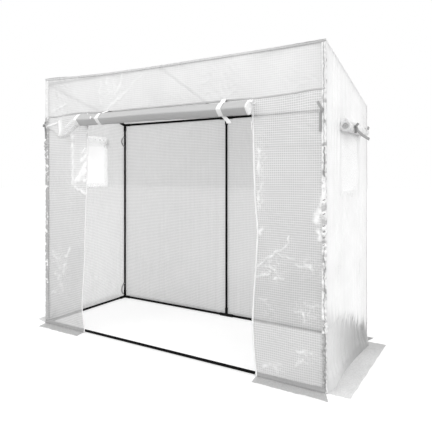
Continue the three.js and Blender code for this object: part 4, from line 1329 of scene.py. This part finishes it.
# Rolls
def roll_place(ends, centre, core, outer, turns, facing, ties, name, along_y=False, pressed=2.0, tilt=0.0):
    """A wound sheet. p runs along the roll, and q from 0 at the core to 1 where it leaves the roll. pressed
    is 2 for a round section and less for one that was pressed to an edge in front."""
    half, mid = (ends[1] - ends[0]) / 2, (ends[0] + ends[1]) / 2

    def place(p, q, out=0.0):
        angle = 2 * math.pi * turns * q
        section = np.abs(np.cos(angle)) ** pressed + np.abs(np.sin(angle)) ** pressed
        pinch = sum(0.10 * near(p - tie, 0.020) for tie in ties)
        oval = 0.008 * np.sin(angle + 5 * p) * ripple(p, 0.2, name + " oval")
        uneven = 1 - pinch + 0.010 * ripple(p, 0.13, name + " ripple") + oval
        radius = (core + (outer - core) * q + out) * section ** (-1 / pressed) * uneven
        slip = 0.0008 * ripple(q, 0.3, name + " ends")
        travel = p + slip * smooth(np.abs(p - mid) / half, 0.93, 1.0)
        level = 0.0015 * np.cos(2 * math.pi * (p - mid) / (1.3 * half)) - tilt * (p - mid) / half
        across = centre[0] + facing * radius * np.cos(angle)
        up = centre[1] + radius * np.sin(angle) + level
        length = 2 * math.pi * turns * (core * q + (outer - core) * q * q / 2)
        if along_y:
            return across, travel, up, travel, length
        return travel, across, up, travel, length

    return place


def eased_rows(count):
    """Places from 0 to 1 whose eased travel is even, so that a strip keeps even rows once it is drawn out."""
    even = np.linspace(0, 1, count)
    return 0.5 - np.sin(np.arcsin(1 - 2 * even) / 3)


def dress_door():
    lowest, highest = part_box("door_roll")
    ends = (lowest.x, highest.x)
    centre = (highest.y - DOOR_ROLL_RADIUS, DOOR_ROLL.z)
    wound = (ends, centre, DOOR_ROLL_CORE, DOOR_ROLL_RADIUS, DOOR_TURNS, 1, DOOR_TIES.values(), "door roll")
    place = roll_place(*wound, pressed=DOOR_ROLL_PRESS, tilt=DOOR_ROLL_TILT)
    turns = spaced(0, 1, 1 / (DOOR_TURNS * 32))
    band, rim = 0.025, 0.006
    film = (spaced(ends[0] + 0.01, ends[1] - rim, 0.009), turns, place)
    woven = [
        (spaced(ends[0], ends[0] + band, 0.003), turns, lifted(place, 0.0006)),
        (spaced(ends[1] - rim - 0.002, ends[1], 0.003), turns, lifted(place, 0.0002))
    ]
    roll = sewn("door_roll_film", [film], ROLLED_FILM, stands_for=["door_roll"], body="door")
    tapes = sewn("door_roll_zip_tapes", woven, ZIP_TAPE, 0.0031, "zip_tape", body="door")
    dress_door_strip(centre[1], highest.y + 0.0006)
    tied = (-0.470, centre[0] - DOOR_ROLL_RADIUS - 0.002, centre[1] + 0.008)
    small = fit(knot("door_tape_knot", tied, 0.0075, WHITE_RIBBON), body="door")
    for piece in (roll, tapes, small):
        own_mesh(piece)
    dress_door_ties(ends, centre)


def dress_door_strip(roll_z, roll_back):
    """The film between the door's seam and its roll, which is drawn out as the door comes down."""
    seam_z = DOOR_SEAM_Z
    rows = eased_rows(130)

    def strip_place(p, q, out=0.0):
        """p is 0 to 1 across the doorway, and q is 0 to 1 from the seam to the roll."""
        eased = q * q * (3 - 2 * q)
        drawn = DOOR_DROP * eased + (seam_z - roll_z) * q
        left, right = (
            sign * (zip_course(side, np.clip(seam_z - drawn, 0, seam_z)) - 0.006)
            for side, sign in SIDES.items()
        )
        x = left + (right - left) * p
        free = np.sin(math.pi * np.clip(eased, 0, 1)) ** 0.8
        relief = free * (
            crumple(x, drawn, "door film", 0.0012) + 0.0012 * waves(x, 0.1 * drawn, 0.12, "door hang")
        )
        front = FRONT_Y - 0.0008
        return x, front + (roll_back - front) * q - relief - out, seam_z + (roll_z - seam_z) * q, x, drawn

    strip = cloth("door_strip_film", [(spaced(0, 1, 0.0085), rows, strip_place)], FILM)
    edges = [
        (spaced(start, start + 0.012, 0.006), rows, lifted(strip_place, 0.0008))
        for start in (0.0, 0.988)
    ]
    tapes = cloth("door_strip_zip_tapes", edges, ZIP_TAPE)
    for piece, slot in ((strip, "cover_film"), (tapes, "zip_tape")):
        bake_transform(piece)
    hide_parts("door_sheet")


def dress_door_ties(ends, centre):
    sheet_low, sheet_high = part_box("door_sheet")
    share = 0.010 / (FRONT_TOP - HEADER_FOOT)
    rows = spaced(-0.2 * share, share, 0.02)
    patch = (spaced(sheet_low.x, sheet_high.x, 0.01), rows, lifted(header_place, 0.0022))
    sewn("door_seam_tape", [patch], SEAM_RIBBON, 0.0006, "white_ribbon", ["door_hem_ties"])
    wall_y = FRONT_Y - 0.0026
    for side, x in DOOR_TIES.items():
        share = (2 * x - ends[0] - ends[1]) / (ends[1] - ends[0])
        tied = (centre[0], centre[1] - DOOR_ROLL_TILT * share)
        radius = DOOR_ROLL_RADIUS * (1 - 0.09) + 0.0016
        tail, lean, start = (0.045, 0.034, 0.0) if side == "right" else (0.012, 0.012, 0.050)
        path = tie_path(tied, radius, 1, (wall_y, HEADER_FOOT + 0.004), tail, DOOR_ROLL_PRESS)
        tie = ribbon(f"door_tie_{side}", path, x, DOOR_TIE_WIDTH, lean, WHITE_RIBBON, start_lean=start)
        fit(tie)
        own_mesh(tie)


def tie_path(centre, radius, wall_side, seam, tail, pressed=2.0):
    """The way of a ribbon from its seam, round the far side of a roll, and down."""
    points = [seam, (seam[0] + (centre[0] - seam[0]) * 0.35, max(seam[1], centre[1] + radius) + 0.001)]
    for angle in np.radians(np.linspace(80, 292, 30)):
        section = abs(math.cos(angle)) ** pressed + abs(math.sin(angle)) ** pressed
        reach = radius * section ** (-1 / pressed)
        points.append((centre[0] + wall_side * reach * math.cos(angle), centre[1] + reach * math.sin(angle)))
    last = points[-1]
    for step in (0.35, 0.7, 1.0):
        points.append((last[0] + wall_side * tail * 0.25 * step, last[1] - tail * step))
    return np.array(points)


def ribbon_along(name, width, surface, long, finish, steps=(0.0025, 0.003)):
    """A ribbon on a surface whose q runs along it, with the steps of its grid across and along."""
    patch = (spaced(-width / 2, width / 2, steps[0]), spaced(0, long, steps[1]), surface)
    return cloth(name, [patch], finish, RIBBON_THICK)


def ribbon(name, path, place, width, lean, finish, along_y=False, start_lean=0.0):
    """A ribbon whose middle follows a path in the roll's section. lean is how far its tail swings aside, and
    start_lean how far aside it starts."""
    travel = travelled(path)
    total = travel[-1]

    def surface(p, q):
        across, up = np.moveaxis(on_line(path, travel, q), -1, 0)
        swing = lean * smooth(q, total * 0.72, total) ** 1.2 + start_lean * smooth(q, total * 0.30, 0.0)
        cup = 0.0006 * np.cos(2 * math.pi * p / width) + 0.0005 * np.sin(55 * q)
        aside = place + p + swing
        if along_y:
            return across + cup, aside, up, p, q
        return aside, across - cup, up, p, q

    return ribbon_along(name, width, surface, total, finish, (0.002, 0.0025))


def knot(name, centre, size, finish):
    """A pulled-tight overhand knot: a cord that goes twice round itself."""
    points = []
    for t in np.linspace(0, 2 * math.pi, 90, endpoint=False):
        ring = 2 + math.cos(3 * t)
        x, y, z = ring * math.cos(2 * t) / 3, ring * math.sin(2 * t) / 3, math.sin(3 * t) / 3
        points.append(Vector(centre) + size * Vector((0.55 * z, x, 0.9 * y)))
    return tube_along(name, points, size * 0.30, finish, sides=8, flat=0.7, closed=True)


def dress_flap(side):
    sign = SIDES[side]
    lowest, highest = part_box(f"flap_roll_{side}")
    near_end, far_end = lowest.y, highest.y
    ends = (near_end, far_end)
    inner = min(abs(lowest.x), abs(highest.x))
    centre = (sign * (inner + FLAP_ROLL_RADIUS), FLAP_ROLL.z)
    wound = (
        FLAP_ROLL_CORE, FLAP_ROLL_RADIUS, FLAP_TURNS, -sign, list(FLAP_TIES.values()), f"{side} flap roll"
    )
    place = roll_place(ends, centre, *wound, along_y=True)
    turns = spaced(0, 1, 1 / (FLAP_TURNS * 28))
    film = (spaced(near_end + 0.004, far_end - 0.004, 0.008), turns, place)
    edges = [(near_end, near_end + 0.014), (far_end - 0.014, far_end)]
    strips = [(spaced(*edge, 0.004), turns, lifted(place, 0.0003)) for edge in edges]
    heart_turns = 4
    heart_wound = (0.002, FLAP_ROLL_CORE - 0.001, heart_turns, -sign, [], f"{side} flap heart")
    heart_place = roll_place(ends, centre, *heart_wound, along_y=True)
    heart_ends = [(near_end + 0.003, near_end + 0.015), (far_end - 0.015, far_end - 0.003)]
    hearts = [
        (spaced(*edge, 0.004), spaced(0, 1, 1 / (heart_turns * 20)), heart_place)
        for edge in heart_ends
    ]
    node, body, joint = f"flap_roll_{side}", f"{side}_flap", f"{side}_flap_lower"
    edge_film = FLAP_EDGE_FILM if side == "right" else FLAP_FILMS[side]
    roll = sewn(f"{node}_film", [film], FLAP_FILMS[side], stands_for=[node], body=body)
    tapes = sewn(f"{node}_edge_tapes", strips, edge_film, 0.0038, body=body)
    heart = sewn(f"{node}_heart", hearts, FLAP_HEARTS[side], 0.0029, body=body)
    for piece in (roll, tapes, heart):
        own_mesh(piece)
    dress_flap_strip(side, inner, centre[1])
    for place_name, y in FLAP_TIES.items():
        radius = FLAP_ROLL_RADIUS * (1 - 0.13) + 0.0010
        path = tie_path(centre, radius, -sign, (sign * (WALL_X + 0.0038), FLAP_SEAM_Z), 0.012)
        name = f"flap_tie_{side}_{place_name}"
        tie = ribbon(name, path, y, FLAP_TIE_WIDTH, 0.004, PALE_RIBBON, along_y=True)
        fit(tie)
        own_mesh(tie)
    dress_flap_knot(side, centre)


def dress_flap_strip(side, inner, roll_z):
    """The film between a flap's seam and its roll, which is drawn out as the flap comes down."""
    sign = SIDES[side]
    seam_z = FLAP_SEAM_Z - 0.006
    sheet_low, sheet_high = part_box(f"flap_sheet_{side}")

    def strip_place(p, q, out=0.0):
        eased = q * q * (3 - 2 * q)
        drawn = FLAP_DROP * eased + (seam_z - roll_z) * q
        relief = np.sin(math.pi * eased) * 0.0005 * (1 + waves(p, drawn, 0.12, f"{side} flap film"))
        x = sign * (WALL_X + 0.0022 + (inner - WALL_X - 0.0016) * q + relief + out)
        return x, p, seam_z + (roll_z - seam_z) * q, p, drawn

    patch = (spaced(sheet_low.y, sheet_high.y, 0.008), eased_rows(60), strip_place)
    strip = cloth(f"flap_strip_{side}_film", [patch], BORDER_FILMS[side])
    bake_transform(strip)
    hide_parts(f"flap_sheet_{side}")
    rows = spaced(FLAP_SEAM_Z - 0.006, FLAP_SEAM_Z + 0.006, 0.004)
    seam_patch = (spaced(sheet_low.y, sheet_high.y, 0.01), rows, lifted(side_place(side), 0.0030))
    sewn(f"flap_seam_tape_{side}", [seam_patch], BORDER_FILMS[side], stands_for=[f"flap_hem_ties_{side}"])


def free_end(name, points, width, facing, finish):
    """A ribbon's loose end along points, with its face turned towards facing, and its length."""
    points = np.array(points, float)
    travel = travelled(points)

    def surface(p, q):
        ahead, behind = on_line(points, travel, q + 0.004), on_line(points, travel, q - 0.004)
        aside = np.cross(ahead - behind, facing)
        aside /= np.linalg.norm(aside, axis=-1, keepdims=True)
        cup = 0.0008 * np.cos(300 * p) * np.cos(60 * q)
        places = on_line(points, travel, q) + aside * p[..., None] + np.array(facing) * cup[..., None]
        return *np.moveaxis(places, -1, 0), p, q

    long = float(travel[-1])
    return fit(ribbon_along(name, width, surface, long, finish)), long


# How far outwards, back and up each ribbon end goes from a flap's knot
FLAP_KNOT_ENDS = {
    "long": ((0.006, 0.014, -0.022), (0.024, 0.048, -0.045), (0.050, 0.082, -0.064)),
    "short": ((0.002, -0.006, -0.016), (0.001, -0.008, -0.036)), "stub": ((0.008, 0.020, 0.018),),
    "tip": ((0.002, -0.024, 0.002),)
}


def dress_flap_knot(side, centre):
    """The ribbons' knots on the roll's outer face and the ends that leave the near one."""
    sign = SIDES[side]
    x, y, z = centre[0] + sign * (FLAP_ROLL_RADIUS + 0.003), FLAP_TIES["near"] - 0.006, centre[1] + 0.003
    far_place = (x + sign * 0.002, FLAP_TIES["far"], z + 0.014)
    tied = fit(knot(f"flap_knot_{side}", (x, y, z), 0.0078, DARK_RIBBON))
    far = fit(knot(f"flap_knot_{side}_far", far_place, 0.0105, GREY_RIBBON))
    for piece in (tied, far):
        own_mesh(piece)
    for name, steps in FLAP_KNOT_ENDS.items():
        points = [(x + sign * dx, y + dy, z + dz) for dx, dy, dz in ((0, 0, 0), *steps)]
        width, finish = (0.016, GREY_RIBBON) if name == "long" else (FLAP_TIE_WIDTH, DARK_RIBBON)
        facing = (0.45 * sign, -0.85, 0.28)
        piece, long = free_end(f"flap_knot_{side}_{name}_end", points, width, facing, finish)
        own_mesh(piece)


# Inner ties that hold the cover to the posts
def dress_frame_ties():
    heights = {"low": (0.125, 0.030), "high": (1.352, 1.272)}
    for side, sign in SIDES.items():
        for end, y, levels in (("front", -POST_Y, ["low"]), ("back", POST_Y, ["low", "high"])):
            for level in levels:
                dress_frame_tie(f"frame_tie_{end}_{side}_{level}", sign * POST_X, y, sign, *heights[level])


def dress_frame_tie(name, x, y, sign, upper, lower):
    """A ribbon sewn into the corner seam: once round the post, knotted, and a loop that hangs from it."""
    ring = TUBE_RADIUS + 0.0012
    into = -1 if y > 0 else 1
    width = FLAP_TIE_WIDTH
    round_it = 2 * math.pi * ring

    def round_post(p, q):
        angle = q / ring
        wave = 0.0006 * np.sin(3 * angle)
        return x + ring * np.cos(angle), y + ring * np.sin(angle), upper + p + wave, p, q

    band = ribbon_along(name + "_band", width, round_post, round_it, POST_RIBBON, (0.0025, round_it / 39))
    fit(band)
    start = Vector((x - sign * 0.003, y + into * ring, upper))
    shares = np.arange(27) / 26
    out = 0.042 * np.maximum(np.sin(math.pi * shares), 0) ** 0.6
    drop = upper + (lower - upper) * shares
    points = np.stack([start.x - sign * out * 0.2, start.y + into * out, drop], axis=-1)
    travel = travelled(points)

    def hanging(p, q):
        px, py, pz = np.moveaxis(on_line(points, travel, q), -1, 0)
        return px + 0.98 * p, py + into * sign * 0.2 * p, pz, p, q

    long = float(travel[-1])
    loop = ribbon_along(name + "_loop", width, hanging, long, GREY_RIBBON, (0.0025, 0.004))
    fit(loop)
    tied = (x - sign * 0.003, y + into * (ring + 0.002), upper)
    fit(knot(name + "_knot", tied, 0.008, POST_RIBBON))


# The front corners' ribbon ties, as places across and up
CORNER_TIES = {
    "left": {
        "knot": (-1.008, 1.377), "arm": ((-1.000, 1.405), (-1.006, 1.385)),
        "tail": ((-1.004, 1.368), (-0.998, 1.330), (-0.997, 1.285))
    },
    "right": {
        "knot": (0.986, 1.343), "arm": ((0.961, 1.384), (0.970, 1.366), (0.984, 1.346)),
        "tail": ((0.984, 1.340), (0.976, 1.325), (0.976, 1.280), (0.975, 1.240))
    }
}


def dress_corner_tie(side):
    """A ribbon tied through the corner seam round the post, with its knot and ends outside."""
    tie, sign = CORNER_TIES[side], SIDES[side]
    y = FRONT_Y - 0.0065
    x, z = tie["knot"]
    tied = fit(knot(f"corner_knot_{side}", (x, y - 0.003, z), 0.0095, GREY_RIBBON))
    around = [(sign * (WALL_X + 0.0045), FRONT_Y + 0.004, z - drop) for drop in (0.045, 0.062, 0.090)]
    ends = {name: [(px, y, pz) for px, pz in tie[name]] for name in ("arm", "tail")}
    for name, points in {**ends, "side_end": around}.items():
        outside = (FLAP_TIE_WIDTH, (0.25 * sign, -0.96, 0.1), GREY_RIBBON)
        width, facing, finish = (0.010, (sign, -0.3, 0.0), PALE_RIBBON) if name == "side_end" else outside
        piece, long = free_end(f"corner_tie_{side}_{name}", points, width, facing, finish)


# Lengths of loose overlock thread: foot and top, radius, how far it wanders, and how far in it lies
CORNER_CORDS = {
    "high": ((1.030, 1.666), 0.0010, 0.0006, 0.010), "shaded": ((1.026, 1.170), 0.0026, 0.0010, 0.007),
    "low": ((0.030, 0.700), 0.0013, 0.0026, 0.007)
}
# Heights where the thread shows for one stitch
CORNER_TICKS = (0.915, 0.848, 0.793, 0.765, 0.737, 0.701)


def dress_corner_cords():
    """The thick overlock thread of the right front corner, loose and wandering near the ground, and the
    places in the gathered part where it shows for one stitch."""
    depth = FRONT_Y - 0.0045
    for number, z in enumerate(CORNER_TICKS):
        start, end = (WALL_X - 0.013, depth, z - 0.002), (WALL_X - 0.002, depth, z + 0.004)
        stitch = [start, (WALL_X - 0.008, depth - 0.001, z), end]
        fit(tube_along(f"corner_stitch_{number}", stitch, 0.0022, CORNER_CORD, sides=6))
    for name, ((foot, top), radius, wander, inset) in CORNER_CORDS.items():
        z = np.arange(foot, top, 0.004)
        fade = smooth(z, foot, foot + 0.02) * smooth(z, top, top - 0.02)
        slow, quick = ripple(z, 0.090, name + " slow"), ripple(z, 0.028, name + " quick")
        across = wander * fade * (slow + 0.6 * quick * slow)
        shift, deep = corner_shift("right", "front", z)
        points = np.stack([WALL_X - inset + across + shift, FRONT_Y - 0.004 - deep + 0 * z, z], axis=-1)
        fit(tube_along(f"corner_cord_{name}", points, radius, CORNER_CORD, sides=6))


# Zip sliders
def prism(outline, back, front, bevel):
    """A plate of an outline across X and Z, from y back to y front, with rounded edges."""
    work = bmesh.new()
    rings = [[work.verts.new((x, y, z)) for x, z in outline] for y in (back, front)]
    work.faces.new(rings[0])
    work.faces.new(list(reversed(rings[1])))
    for i in range(len(outline)):
        j = (i + 1) % len(outline)
        work.faces.new((rings[0][j], rings[0][i], rings[1][i], rings[1][j]))
    bmesh.ops.recalc_face_normals(work, faces=work.faces)
    bmesh.ops.bevel(work, geom=work.edges[:], offset=bevel, segments=2, profile=0.6, affect="EDGES")
    return filled(bpy.data.meshes.new("plate"), work)


def pull_plate(x, half_width, top, bottom, back, front):
    """The slider's pull: a rounded plate with a hole near its foot."""
    hole_z = bottom + 1.25 * half_width
    count = 40
    outer, inner = [], []
    for i in range(count):
        angle = 2 * math.pi * i / count
        dx, dz = math.cos(angle), math.sin(angle)
        reach_z = (top - hole_z) if dz > 0 else (hole_z - bottom)
        stretch = min(half_width / max(abs(dx), 1e-6), reach_z / max(abs(dz), 1e-6))
        outer.append((x + dx * stretch, hole_z + dz * stretch))
        inner.append((x + dx * half_width * 0.45, hole_z + dz * half_width * 0.45))
    rings = ((outer, front), (inner, front), (inner, back), (outer, back))
    vertices = [(px, y, z) for ring, y in rings for px, z in ring]
    return closed_mesh("pull", vertices, joined_rings(len(rings), count, True))


def dress_slider(side):
    node = f"zip_slider_{side}"
    lowest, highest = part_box(node)
    x, half = middle(node).x, (highest.x - lowest.x) / 2
    back, top = highest.y, highest.z
    foot = top - 0.020
    right = [(0.62, foot), (1.0, foot + 0.011), (0.86, top - 0.0012), (0.45, top)]
    outline = [(x - 0.62 * half, foot)] + [(x + share * half, z) for share, z in right]
    outline += [(x - share * half, z) for share, z in right[:0:-1]]
    body = prism(outline, back, back - 0.0026, 0.0005)
    angles = [math.pi * i / 16 for i in range(17)]
    arch = [(x, back - 0.0022 - 0.0017 * math.sin(a), top - 0.010 + 0.0058 * math.cos(a)) for a in angles]
    bridge = tube_along("bridge", arch, 0.0011, ZIP_METAL, sides=8)
    plate = pull_plate(x, 0.003, top - 0.012, lowest.z, back - 0.0030, back - 0.0040)
    work = bmesh.new()
    for part in (body, bridge.data, plate):
        work.from_mesh(part)
    bpy.data.objects.remove(bridge)
    mesh = rounded(filled(bpy.data.meshes.new(node + "_metal"), work), ZIP_METAL, 40)
    fit(linked(node + "_metal", mesh), [node], f"{side}_slider")


def dress_cover():
    rows = dress_header()
    for side in SIDES:
        rows += dress_front_panel(side)
    rows += dress_side_wall("left") + dress_back_wall()
    pale_rows = dress_side_wall("right") + dress_roof()
    dress_skirts()
    # Grey stitches with painted shade, and paler ones painted for the brightly lit right wall and roof.
    fit(stitches("seam_stitches", rows, STITCH_THREAD))
    fit(stitches("pale_seam_stitches", pale_rows, PALE_THREAD))


# Studio. Each lamp has the way towards it, its strength and its spread in degrees.
FLOOR_REACH = 30.0
FLOOR_TONE = 0.50
FLOOR_GLOW = 0.57
AMBIENT = 0.86
LAMPS = {"key": ((0.85, -0.22, 0.40), 1.62, 70), "fill": ((-0.45, -0.80, 0.40), 1.15, 40)}


def dress_floor():
    shader = Shader("pale_floor")
    matt = shader.node("ShaderNodeBsdfDiffuse", {}, {"Color": grey(FLOOR_TONE)})
    glow = shader.node("ShaderNodeEmission", {}, {"Color": grey(1.0), "Strength": shader.seen() * FLOOR_GLOW})
    finish = shader.finish(shader.node("ShaderNodeAddShader", {}, {0: matt, 1: glow}))
    corners = [(x * FLOOR_REACH, y * FLOOR_REACH, -0.0005) for x, y in ((-1, -1), (1, -1), (1, 1), (-1, 1))]
    built("studio_floor", corners, [(0, 1, 2, 3)], finish)


def light_studio():
    sky = Shader("studio", "worlds")
    strength = sky.seen() * (1.0 - AMBIENT) + AMBIENT
    shown = sky.node("ShaderNodeBackground", {}, {"Color": grey(1.0), "Strength": strength})
    bpy.context.scene.world = sky.finish(shown, "ShaderNodeOutputWorld")
    for name, (towards, energy, spread) in LAMPS.items():
        lamp = bpy.data.lights.new(name, "SUN")
        lamp.energy = energy
        lamp.angle = math.radians(spread)
        holder = linked(name, lamp)
        holder.rotation_mode = "QUATERNION"
        holder.rotation_quaternion = Vector(towards).to_track_quat("Z", "Y")


# The camera that fits the photo: its place, its turn in degrees, its lens and the shift of its picture
CAMERA_PLACE = (1.6918, -2.5261, 1.0342)
CAMERA_TURN = (90, 0, 31.43)
CAMERA_LENS = 38.397
CAMERA_SHIFT = -0.0953


def place_camera():
    data = bpy.data.cameras.new("camera")
    data.sensor_width = 36
    data.lens = CAMERA_LENS
    data.shift_y = CAMERA_SHIFT
    camera = linked("camera", data)
    camera.location = CAMERA_PLACE
    camera.rotation_euler = [math.radians(angle) for angle in CAMERA_TURN]
    bpy.context.scene.camera = camera
    bpy.context.scene.view_settings.view_transform = "Standard"


place_camera()
light_studio()
dress_floor()
dress_frame()
dress_cover()
dress_door()
for flap_side in SIDES:
    dress_flap(flap_side)
    dress_slider(flap_side)
    dress_corner_tie(flap_side)
dress_corner_cords()
dress_frame_ties()
